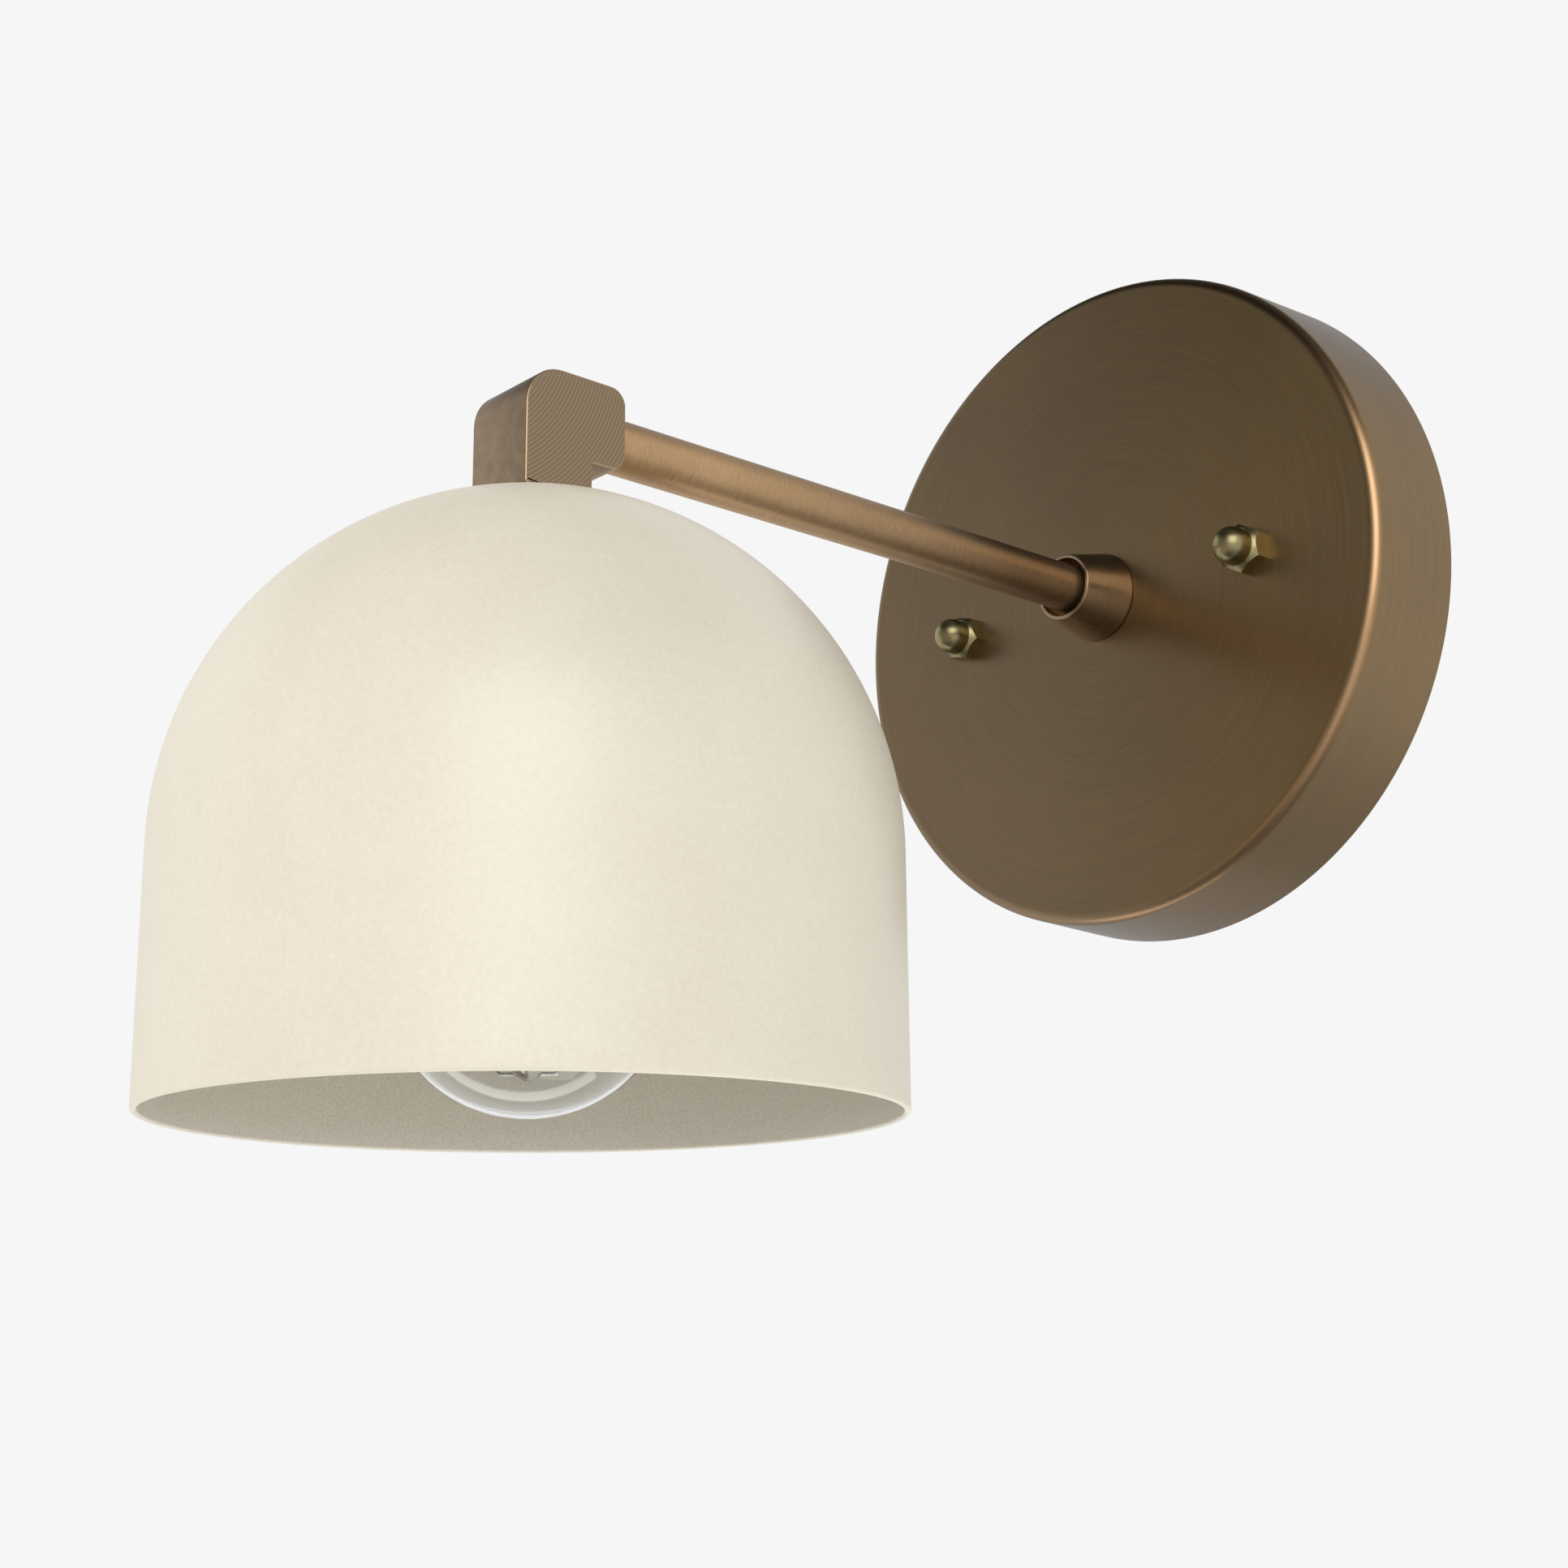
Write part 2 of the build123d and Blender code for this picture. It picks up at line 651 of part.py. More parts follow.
def filament_wires():
    """Bent wires that stand out from the stem and turn into the foot and head of every filament."""
    foot, head = filament_ends()
    inner = stem_rod_radius - filament_wire_embed
    outer = filament_ring_radius
    wires = []
    for place in filament_places():
        for end, way in ((foot, -1), (head, 1)):
            level = end + way * filament_tab
            points = [(inner, 0, level), (outer, 0, level), (outer, 0, end - way * filament_wire_embed)]
            wires.append(shade_axis * place * wire(filament_wire_radius, points, [filament_wire_bend]))
    return wires


def lead(side):
    """Insulated lead from a connector in the canopy, along the arm and down to a socket terminal."""
    x = side * lead_spacing / 2
    end_x = side * lead_terminal_offset
    turn_z = nipple_foot_z - lead_radius
    points = [
        (side * (connector_mouth + connector_grip), -lead_stand_off, -lead_drop),
        (x, -lead_stand_off, -lead_drop),
        (x, -lead_stand_off, 0),
        (x, -arm_projection, 0),
        (x, -arm_projection, turn_z),
        (end_x, -arm_projection, turn_z - abs(end_x - x)),
        (end_x, -arm_projection, plate_top_z),
    ]
    last_bend = lead_radius * 2
    radii = [lead_bend_radius, lead_bend_radius, lead_corner_radius, last_bend, last_bend]
    return wire(lead_radius, points, radii)


def wire_connectors():
    """Two twist-on connectors on the leads inside the canopy."""
    body = turned(
        (0, connector_mouth),
        (connector_radius, connector_mouth),
        (connector_tip_radius, connector_mouth + connector_length),
        (0, connector_mouth + connector_length),
    )
    body -= rod(lead_radius + thread_fit, connector_mouth, connector_mouth + connector_grip)
    centre = Pos(0, -lead_stand_off, -lead_drop)
    return [centre * Rot(0, side * 90, 0) * body for side in (-1, 1)]


nodes = {
    "canopy": canopy(),
    "mounting_plate": mounting_plate(),
    "fixture_studs": fixture_studs(),
    "stud_lock_nuts": stud_lock_nuts(),
    "cap_nuts": cap_nuts(),
    "earth_screw": earth_screw(),
    "earth_lug": earth_lug(),
    "earth_lead": earth_lead(),
    "arm_tube": arm_tube(),
    "arm_collar": arm_collar(),
    "canopy_lock_washer": lock_washer(),
    "canopy_nut": pipe_nut(),
    "elbow_block": elbow_block(),
    "shade_nipple": shade_nipple(),
    "shade": shade(),
    "shade_washer": shade_washer(),
    "shade_nut": shade_nut(),
    "socket_cap": socket_cap(),
    "socket_cap_screws": socket_cap_screws(),
    "socket_body": socket_body(),
    "socket_screw_shell": socket_screw_shell(),
    "socket_centre_contact": socket_centre_contact(),
    "socket_terminal_screws": socket_terminal_screws(),
    "live_lead": lead(1),
    "neutral_lead": lead(-1),
    "wire_connectors": wire_connectors(),
    "globe_glass": globe_glass(),
    "globe_stem": globe_stem(),
    "globe_filaments": globe_filaments(),
    "filament_wires": filament_wires(),
    "lamp_base_shell": lamp_base_shell(),
    "lamp_base_insulator": lamp_base_insulator(),
    "lamp_base_contact": lamp_base_contact(),
    "lamp_driver": lamp_driver(),
}

os.makedirs("parts", exist_ok=True)
for name, shape in nodes.items():
    if isinstance(shape, list):
        shape = Compound(children=shape)
    export_step(shape, f"parts/{name}.step")
    print(name, len(shape.solids()), "solids")
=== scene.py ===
import logging
from dataclasses import dataclass, field
from enum import Enum
from math import cos, pi, radians, sin, sqrt
from typing import Any, Optional, Sequence

import bmesh
import bpy
import numpy as np
from mathutils import Matrix, Vector


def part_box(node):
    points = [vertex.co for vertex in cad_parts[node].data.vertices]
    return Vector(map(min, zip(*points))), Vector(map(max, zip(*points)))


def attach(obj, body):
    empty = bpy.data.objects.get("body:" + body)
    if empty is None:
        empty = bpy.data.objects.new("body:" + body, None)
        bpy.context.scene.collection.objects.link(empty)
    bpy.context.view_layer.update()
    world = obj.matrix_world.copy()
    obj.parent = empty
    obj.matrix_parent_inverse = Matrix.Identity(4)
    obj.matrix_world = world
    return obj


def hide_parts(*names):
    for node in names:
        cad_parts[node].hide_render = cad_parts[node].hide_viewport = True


# Dome wall sconce: aged-brass canopy, arm and elbow block, cream powder-coated dome shade and clear globe lamp.
# Sizes are in millimetres in the classes and become metres where a mesh is made.

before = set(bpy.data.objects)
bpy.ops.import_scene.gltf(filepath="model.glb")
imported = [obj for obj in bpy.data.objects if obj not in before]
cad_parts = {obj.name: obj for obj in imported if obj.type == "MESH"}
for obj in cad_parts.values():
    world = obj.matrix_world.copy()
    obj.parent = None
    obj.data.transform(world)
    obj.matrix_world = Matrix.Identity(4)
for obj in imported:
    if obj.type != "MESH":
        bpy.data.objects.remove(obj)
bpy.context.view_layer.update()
log = logging.getLogger("sconce")

MM = 0.001
PHOTO_SIDE = 1932
BRUSH = "brush"
INSIDE = "inside"
MILLED = "milled"
# Vertex mark for lighter copper edges: partly wear from handling, partly a painted highlight where a lamp catches the
# edge.
EDGE_WEAR_AND_HIGHLIGHT = "wear_and_highlight"
TINTED = "tinted"
TURNED_UV = "turned"
WELD = 1e-7
THINNEST_EDGE = 1e-8
HOLD_SHARE = 0.6
HOLD_MOST_MM = 0.4
QUARTER_TURN = 0.25
MASK_MIDDLE = 0.5
MASK_REACH = 0.25


class Body(str, Enum):
    """The bodies of the frame that pieces ride on."""

    FIXTURE = "fixture"
    LAMP = "lamp"


class Axis(Enum):
    """The two lines that pieces are turned about: the arm, out from the wall, and the shade, upright."""

    ARM = "arm"
    SHADE = "shade"


# Colours and shader nodes


def linear(hex_code: str) -> tuple[float, float, float, float]:
    """Turns an sRGB hex colour into linear RGBA.

    Args:
        hex_code: six hex digits after a hash sign.

    Returns:
        Red, green, blue and an alpha of 1, in linear light.
    """
    parts = np.array([int(hex_code[i:i + 2], 16) for i in (1, 3, 5)]) / 255
    light = np.where(parts <= 0.04045, parts / 12.92, ((parts + 0.055) / 1.055) ** 2.4)
    return (*light.tolist(), 1.0)


def add(tree: bpy.types.NodeTree, kind: str, inputs: Optional[dict] = None, **settings: Any) -> bpy.types.Node:
    """Adds one node, with its settings, and fills its inputs with values or links.

    Args:
        tree: the node tree that gets the node.
        kind: the node's type name, without its ShaderNode prefix.
        inputs: for each input, by name or number, a value or an output socket to link.
        settings: the node's own properties.

    Returns:
        The new node.
    """
    node = tree.nodes.new("ShaderNode" + kind)
    for name, value in settings.items():
        setattr(node, name, value)
    for name, value in (inputs or {}).items():
        if isinstance(value, bpy.types.NodeSocket):
            tree.links.new(value, node.inputs[name])
        else:
            node.inputs[name].default_value = value
    return node


def per_metre(size_mm: float) -> float:
    """Texture scale that repeats a pattern once in a size given in millimetres."""
    return 1 / (size_mm * MM)


# Finishes


@dataclass(frozen=True)
class Finish:
    """A plain worked surface: two close colours in a soft mottle, with roughness and bump from the same mottle."""

    name: str
    dark: str
    light: str
    metallic: float
    roughness: float
    mottle_mm: float = 2.0
    rough_spread: float = 0.08
    bump_mm: float = 0.01
    coat: float = 0.0
    contrast: float = 1.0
    # Colour of the lighter edges: partly wear, partly a painted highlight.
    wear_and_highlight: str = ""

    def pattern(self, tree: bpy.types.NodeTree) -> bpy.types.NodeSocket:
        """Builds the mottle: three octaves of noise at the size of the real grain.

        Args:
            tree: the material's node tree.

        Returns:
            A socket from 0, dark, to 1, light.
        """
        place = add(tree, "TexCoord")
        noise = add(tree, "TexNoise", {
            "Vector": place.outputs["Object"], "Scale": per_metre(self.mottle_mm), "Detail": 3.0})
        return noise.outputs["Fac"]

    def dress_shader(self, tree: bpy.types.NodeTree, shader: bpy.types.Node) -> None:
        """Sets what is special to this finish on the shader's own sockets."""
        shader.inputs["Coat Weight"].default_value = self.coat

    def material(self) -> bpy.types.Material:
        """Builds the material, once for each name.

        Returns:
            The material with colour, roughness and bump driven by the pattern.
        """
        made = bpy.data.materials.get(self.name)
        if made is not None and made.get("sconce"):
            return made
        made = bpy.data.materials.new(self.name)
        made["sconce"] = True
        made.use_nodes = True
        tree = made.node_tree
        shader = tree.nodes["Principled BSDF"]
        pattern = self.pattern(tree)
        reach = MASK_REACH / self.contrast
        mask = add(tree, "MapRange", {
            "Value": pattern, "From Min": MASK_MIDDLE - reach, "From Max": MASK_MIDDLE + reach})
        colour = add(tree, "Mix", {0: mask.outputs[0], 6: linear(self.dark), 7: linear(self.light)}, data_type="RGBA")
        # Mixes in the lighter edge colour where the vertex mark asks for it: partly wear, partly a painted highlight.
        if self.wear_and_highlight:
            wear_and_highlight_share = add(tree, "Attribute", attribute_name=EDGE_WEAR_AND_HIGHLIGHT)
            colour = add(tree, "Mix", {
                0: wear_and_highlight_share.outputs["Fac"], 6: colour.outputs[2], 7: linear(self.wear_and_highlight)}, data_type="RGBA")
        tree.links.new(colour.outputs[2], shader.inputs["Base Color"])
        rough = add(tree, "MapRange", {
            "Value": pattern,
            "To Min": self.roughness - self.rough_spread,
            "To Max": self.roughness + self.rough_spread})
        tree.links.new(rough.outputs[0], shader.inputs["Roughness"])
        bump = add(tree, "Bump", {"Height": pattern, "Distance": self.bump_mm * MM, "Strength": 1.0})
        tree.links.new(bump.outputs["Normal"], shader.inputs["Normal"])
        shader.inputs["Metallic"].default_value = self.metallic
        self.dress_shader(tree, shader)
        return made


@dataclass(frozen=True)
class TurnedBrass(Finish):
    """Aged brass brushed while it spins: fine lines round the axis, which draw each highlight out across them."""

    line_mm: float = 0.35
    lines_per_turn: float = 2.5
    anisotropy: float = 0.6
    cloud_mm: float = 30.0
    cloud_share: float = 0.35
    grazing: str = "#ffffff"
    # Colour multiplied in towards one end: on the arm, darker and cooler near the wall, a painted reflection of the
    # dark canopy.
    tint: str = ""
    tint_along: str = "X"
    tint_from_mm: float = -25.0
    tint_to_mm: float = 50.0

    def pattern(self, tree: bpy.types.NodeTree) -> bpy.types.NodeSocket:
        """Mixes brushed lines, noise squeezed along the profile, with broad clouds of patina.

        Args:
            tree: the material's node tree.

        Returns:
            A socket from 0, dark, to 1, light.
        """
        brush = add(tree, "Attribute", attribute_name=BRUSH)
        spread = add(tree, "Mapping", {
            "Vector": brush.outputs["Vector"],
            "Scale": (self.lines_per_turn, self.lines_per_turn, per_metre(self.line_mm))})
        lines = add(tree, "TexNoise", {"Vector": spread.outputs[0], "Scale": 1.0, "Detail": 4.0, "Roughness": 0.6})
        place = add(tree, "TexCoord")
        cloud = add(tree, "TexNoise", {
            "Vector": place.outputs["Object"], "Scale": per_metre(self.cloud_mm), "Detail": 2.0})
        both = add(tree, "Mix", {0: self.cloud_share, 2: lines.outputs["Fac"], 3: cloud.outputs["Fac"]})
        return both.outputs[0]

    def dress_shader(self, tree: bpy.types.NodeTree, shader: bpy.types.Node) -> None:
        """Stretches highlights across the brushed lines, along the turned map's U, and tints the base colour towards
        one end.

        Args:
            tree: the material's node tree.
            shader: the material's shader.
        """
        # On the arm this tint is a painted reflection of the dark canopy, darker and cooler near the wall; on the
        # canopy it warms the +X side.
        if self.tint:
            plain = shader.inputs["Base Color"].links[0].from_socket
            place = add(tree, "TexCoord")
            across = add(tree, "SeparateXYZ", {0: place.outputs["Object"]})
            side = add(tree, "MapRange", {
                "Value": across.outputs[self.tint_along],
                "From Min": self.tint_from_mm * MM, "From Max": self.tint_to_mm * MM},
                interpolation_type="SMOOTHSTEP")
            marked = add(tree, "Attribute", attribute_name=TINTED)
            part = add(tree, "Math", {0: side.outputs[0], 1: marked.outputs["Fac"]}, operation="MULTIPLY")
            tinted = add(tree, "Mix", {0: part.outputs[0], 6: plain, 7: linear(self.tint)}, data_type="RGBA",
                         blend_type="MULTIPLY")
            tree.links.new(tinted.outputs[2], shader.inputs["Base Color"])
        tangent = add(tree, "Tangent", direction_type="UV_MAP", uv_map=TURNED_UV)
        tree.links.new(tangent.outputs[0], shader.inputs["Tangent"])
        shader.inputs["Specular Tint"].default_value = linear(self.grazing)
        shader.inputs["Anisotropic"].default_value = self.anisotropy
        shader.inputs["Anisotropic Rotation"].default_value = QUARTER_TURN


@dataclass(frozen=True)
class MilledBrass(Finish):
    """Aged brass bar with the even arcs of a fly cutter on its two sides, and a plain drawn skin elsewhere."""

    groove_mm: float = 0.6
    waver: float = 0.35
    cutter_centre: tuple[float, float] = (-177.3, 14.3)
    cut_shade: str = "#e3e3e3"
    groove_range: tuple[float, float] = (0.28, 0.72)

    def pattern(self, tree: bpy.types.NodeTree) -> bpy.types.NodeSocket:
        """Mixes even grooves round the cutter's centre, on the milled sides, with a soft mottle.

        The grooves are sin(2 pi distance / pitch); the distance from the centre wavers a little with the mottle.

        Args:
            tree: the material's node tree.

        Returns:
            A socket from 0, dark, to 1, light.
        """
        place = add(tree, "TexCoord")
        centre = (0.0, self.cutter_centre[0] * MM, self.cutter_centre[1] * MM)
        reach = add(tree, "VectorMath", {0: place.outputs["Object"], 1: centre}, operation="SUBTRACT")
        flat = add(tree, "VectorMath", {0: reach.outputs[0], 1: (0.0, 1.0, 1.0)}, operation="MULTIPLY")
        radius = add(tree, "VectorMath", {0: flat.outputs[0]}, operation="LENGTH")
        mottle = add(tree, "TexNoise", {
            "Vector": place.outputs["Object"], "Scale": per_metre(self.mottle_mm), "Detail": 3.0})
        turns = add(tree, "Math", {
            0: radius.outputs["Value"], 1: 2 * pi * per_metre(self.groove_mm)}, operation="MULTIPLY")
        phase = add(tree, "Math", {
            0: mottle.outputs["Fac"], 1: 2 * pi * self.waver, 2: turns.outputs[0]}, operation="MULTIPLY_ADD")
        wave = add(tree, "Math", {0: phase.outputs[0]}, operation="SINE")
        low, high = self.groove_range
        groove = add(tree, "MapRange", {"Value": wave.outputs[0], "From Min": -1.0, "To Min": low, "To Max": high})
        milled = add(tree, "Attribute", attribute_name=MILLED)
        both = add(tree, "Mix", {0: milled.outputs["Fac"], 2: mottle.outputs["Fac"], 3: groove.outputs[0]})
        return both.outputs[0]

    def dress_shader(self, tree: bpy.types.NodeTree, shader: bpy.types.Node) -> None:
        """Darkens the milled sides, where patina sits in the grooves, beside the drawn skin.

        Args:
            tree: the material's node tree.
            shader: the material's shader.
        """
        skin = shader.inputs["Base Color"].links[0].from_socket
        milled = add(tree, "Attribute", attribute_name=MILLED)
        colour = add(tree, "Mix", {0: milled.outputs["Fac"], 6: skin, 7: linear(self.cut_shade)}, data_type="RGBA",
                     blend_type="MULTIPLY")
        tree.links.new(colour.outputs[2], shader.inputs["Base Color"])


@dataclass(frozen=True)
class PowderCoat(Finish):
    """Baked powder paint: a fine sandy skin, with a coarser grain inside the shade, where a darker, greyer cream is
    painted shade.
    """

    grain_mm: float = 0.8
    inner_grain_mm: float = 0.32
    # Darker, greyer cream for the inside of the shade: painted shade.
    painted_shade_dark: str = "#d3ccba"
    painted_shade_light: str = "#e6dfcf"
    inner_mask: tuple[float, float] = (0.3, 0.7)
    cloud_share: float = 0.3
    gloss: float = 1.0

    def pattern(self, tree: bpy.types.NodeTree) -> bpy.types.NodeSocket:
        """Mixes the sandy grain with broad unevenness of the sprayed coat.

        Args:
            tree: the material's node tree.

        Returns:
            A socket from 0, dark, to 1, light.
        """
        place = add(tree, "TexCoord")
        grain = add(tree, "TexNoise", {
            "Vector": place.outputs["Object"], "Scale": per_metre(self.grain_mm), "Detail": 2.0, "Roughness": 0.6})
        cloud = add(tree, "TexNoise", {
            "Vector": place.outputs["Object"], "Scale": per_metre(self.mottle_mm), "Detail": 2.0})
        both = add(tree, "Mix", {0: self.cloud_share, 2: grain.outputs["Fac"], 3: cloud.outputs["Fac"]})
        return both.outputs[0]

    def dress_shader(self, tree: bpy.types.NodeTree, shader: bpy.types.Node) -> None:
        """Gives the coat its satin gloss and paints the inside of the shade darker and greyer: painted shade.

        Args:
            tree: the material's node tree.
            shader: the material's shader.
        """
        shader.inputs["Specular IOR Level"].default_value = self.gloss
        # Painted shade: the inside takes the darker, greyer cream.
        outer = shader.inputs["Base Color"].links[0].from_socket
        place = add(tree, "TexCoord")
        grain = add(tree, "TexNoise", {
            "Vector": place.outputs["Object"], "Scale": per_metre(self.inner_grain_mm), "Detail": 1.0})
        low, high = self.inner_mask
        mask = add(tree, "MapRange", {"Value": grain.outputs["Fac"], "From Min": low, "From Max": high})
        inner = add(tree, "Mix", {
            0: mask.outputs[0], 6: linear(self.painted_shade_dark), 7: linear(self.painted_shade_light)}, data_type="RGBA")
        inside = add(tree, "Attribute", attribute_name=INSIDE)
        colour = add(tree, "Mix", {0: inside.outputs["Fac"], 6: outer, 7: inner.outputs[2]}, data_type="RGBA")
        tree.links.new(colour.outputs[2], shader.inputs["Base Color"])


@dataclass(frozen=True)
class Glass(Finish):
    """Blown soda-lime glass, clear, with a faint unevenness in its skin."""

    ior: float = 1.5

    def dress_shader(self, tree: bpy.types.NodeTree, shader: bpy.types.Node) -> None:
        """Makes the shader clear, with the refraction of soda-lime glass."""
        shader.inputs["Transmission Weight"].default_value = 1.0
        shader.inputs["IOR"].default_value = self.ior


# Surfaces


def arc(centre: Sequence[float], radius: float, start: float, stop: float, count: int) -> np.ndarray:
    """Points on a circle between two angles.

    Args:
        centre: the circle's centre.
        radius: its radius.
        start: the first angle in degrees.
        stop: the last angle in degrees.
        count: how many points.

    Returns:
        Points, count by 2: centre + radius (cos a, sin a).
    """
    angle = np.radians(np.linspace(start, stop, count))
    return np.asarray(centre, float) + radius * np.stack([np.cos(angle), np.sin(angle)], axis=1)


def rounded(corners: Sequence[Sequence[float]], radii: Sequence[float], steps: int = 7) -> np.ndarray:
    """Closed outline with each corner rounded by its own radius and held by two close points.

    Each corner gets the arc that touches its two sides, at the distance radius / tan(half angle) from the corner,
    and one more point on either side, which keeps the straight runs flat under smooth shading.

    Args:
        corners: the outline's corners in order.
        radii: the rounding radius at each corner.
        steps: points on each arc.

    Returns:
        Points of the outline in order.
    """
    at = np.asarray(corners, float)
    size = np.asarray(radii, float)[:, None]
    back = np.roll(at, 1, axis=0) - at
    ahead = np.roll(at, -1, axis=0) - at
    back /= np.linalg.norm(back, axis=1, keepdims=True)
    ahead /= np.linalg.norm(ahead, axis=1, keepdims=True)
    angle = np.arccos(np.clip((back * ahead).sum(1, keepdims=True), -1, 1))
    run = size / np.tan(angle / 2)
    middle = back + ahead
    middle /= np.linalg.norm(middle, axis=1, keepdims=True)
    centre = at + middle * size / np.sin(angle / 2)
    first = at + back * run - centre
    last = at + ahead * run - centre
    turn = (pi - angle)[:, :, None]
    share = np.linspace(0, 1, steps)[None, :, None]
    sweep = (np.sin((1 - share) * turn) * first[:, None] + np.sin(share * turn) * last[:, None]) / np.sin(turn)
    arcs = centre[:, None] + sweep
    hold = np.minimum(HOLD_SHARE * size, HOLD_MOST_MM)
    before = (at + back * (run + hold))[:, None]
    after = (at + ahead * (run + hold))[:, None]
    return np.concatenate([before, arcs, after], axis=1).reshape(-1, 2)


def carry(points: np.ndarray, axis: Axis, projection: float) -> np.ndarray:
    """Takes points from a turned piece's own frame, with its height along Z, into the part's frame.

    Args:
        points: points in millimetres.
        axis: the line the piece is turned about.
        projection: distance of the shade's axis from the wall.

    Returns:
        The points in metres, in the part's frame.
    """
    x, y, z = np.moveaxis(points, -1, 0)
    placed = (x, -z, y) if axis is Axis.ARM else (x, y - projection, z)
    return np.stack(placed, axis=-1) * MM


def mesh_object(name: str, points: np.ndarray, faces: np.ndarray, uv: Optional[np.ndarray] = None,
                attributes: Optional[dict[str, np.ndarray]] = None) -> bpy.types.Object:
    """Makes an object from arrays, welds its seams and poles and turns its faces outwards.

    Args:
        name: the object's name.
        points: vertices in metres.
        faces: four vertex numbers for each face.
        uv: two texture coordinates for each corner of each face.
        attributes: values at each vertex, one number or three.

    Returns:
        The new object, linked to the scene.
    """
    mesh = bpy.data.meshes.new(name)
    mesh.from_pydata(points.tolist(), [], faces.tolist())
    for key, values in (attributes or {}).items():
        vector = values.ndim == 2
        layer = mesh.attributes.new(key, "FLOAT_VECTOR" if vector else "FLOAT", "POINT")
        layer.data.foreach_set("vector" if vector else "value", values.astype(np.float32).ravel())
    if uv is not None:
        mesh.uv_layers.new(name=TURNED_UV).data.foreach_set("uv", uv.astype(np.float32).ravel())
    work = bmesh.new()
    work.from_mesh(mesh)
    bmesh.ops.remove_doubles(work, verts=work.verts, dist=WELD)
    bmesh.ops.dissolve_degenerate(work, edges=work.edges, dist=THINNEST_EDGE)
    bmesh.ops.recalc_face_normals(work, faces=work.faces)
    work.to_mesh(mesh)
    work.free()
    mesh.polygons.foreach_set("use_smooth", np.ones(len(mesh.polygons), bool))
    made = bpy.data.objects.new(name, mesh)
    bpy.context.scene.collection.objects.link(made)
    return made


def turned(name: str, profile: np.ndarray, axis: Axis, projection: float, closed: bool = True,
           segments: int = 192, marks: Optional[dict[str, np.ndarray]] = None) -> bpy.types.Object:
    """Turns a profile of (radius, height) round an axis: (r cos u, r sin u, h).

    The brush attribute holds (cos u, sin u, distance along the profile), so brushed lines can run round the piece
    with no seam, and the UV map has its U round the axis.

    Args:
        name: the piece's name.
        profile: points of (radius, height) in millimetres.
        axis: the line it is turned about.
        projection: distance of the shade's axis from the wall.
        closed: whether the profile is a closed loop; an open one starts and ends on the axis.
        segments: how many steps round the axis.
        marks: named values at each profile point, or at each point of the grid, that become attributes.

    Returns:
        The piece.
    """
    count = len(profile)
    rows = count if closed else count - 1
    u = np.linspace(0, 2 * pi, segments, endpoint=False)
    along = np.concatenate([[0], np.cumsum(np.linalg.norm(np.diff(profile, axis=0), axis=1))])
    ring = np.stack([np.cos(u), np.sin(u)], axis=1)
    grid = np.empty((count, segments, 3))
    grid[..., :2] = profile[:, None, :1] * ring[None]
    grid[..., 2] = profile[:, None, 1]
    brush = np.empty_like(grid)
    brush[..., :2] = ring[None]
    brush[..., 2] = along[:, None] * MM
    i, j = np.meshgrid(np.arange(rows), np.arange(segments), indexing="ij")
    below, right = (i + 1) % count, (j + 1) % segments
    here, under = i * segments, below * segments
    faces = np.stack([here + j, here + right, under + right, under + j], axis=-1)
    span = np.append(along, along[-1] + np.linalg.norm(profile[0] - profile[-1])) / along[-1]
    left_u, right_u = j / segments, (j + 1) / segments
    uv = np.stack([
        np.stack([left_u, span[i]], -1), np.stack([right_u, span[i]], -1),
        np.stack([right_u, span[i + 1]], -1), np.stack([left_u, span[i + 1]], -1)], axis=-2)
    attributes = {BRUSH: brush.reshape(-1, 3)}
    for key, values in (marks or {}).items():
        attributes[key] = np.broadcast_to(values.reshape(count, -1), (count, segments)).ravel()
    return mesh_object(name, carry(grid.reshape(-1, 3), axis, projection), faces.reshape(-1, 4), uv, attributes)


def settle(piece: bpy.types.Object, finish: Finish, body: Body, slot: str, *nodes: str) -> bpy.types.Object:
    """Dresses a new piece, rides it on its body and lets it stand for its CAD nodes.

    Args:
        piece: the new piece.
        finish: its finish.
        body: the body it rides on.
        slot: name of a material slot; not used.
        nodes: the CAD nodes it stands for.

    Returns:
        The piece.
    """
    piece.data.materials.append(finish.material())
    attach(piece, body.value)
    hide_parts(*nodes)
    log.info("%s stands for %s", piece.name, ", ".join(nodes))
    return piece


# Sub-assemblies


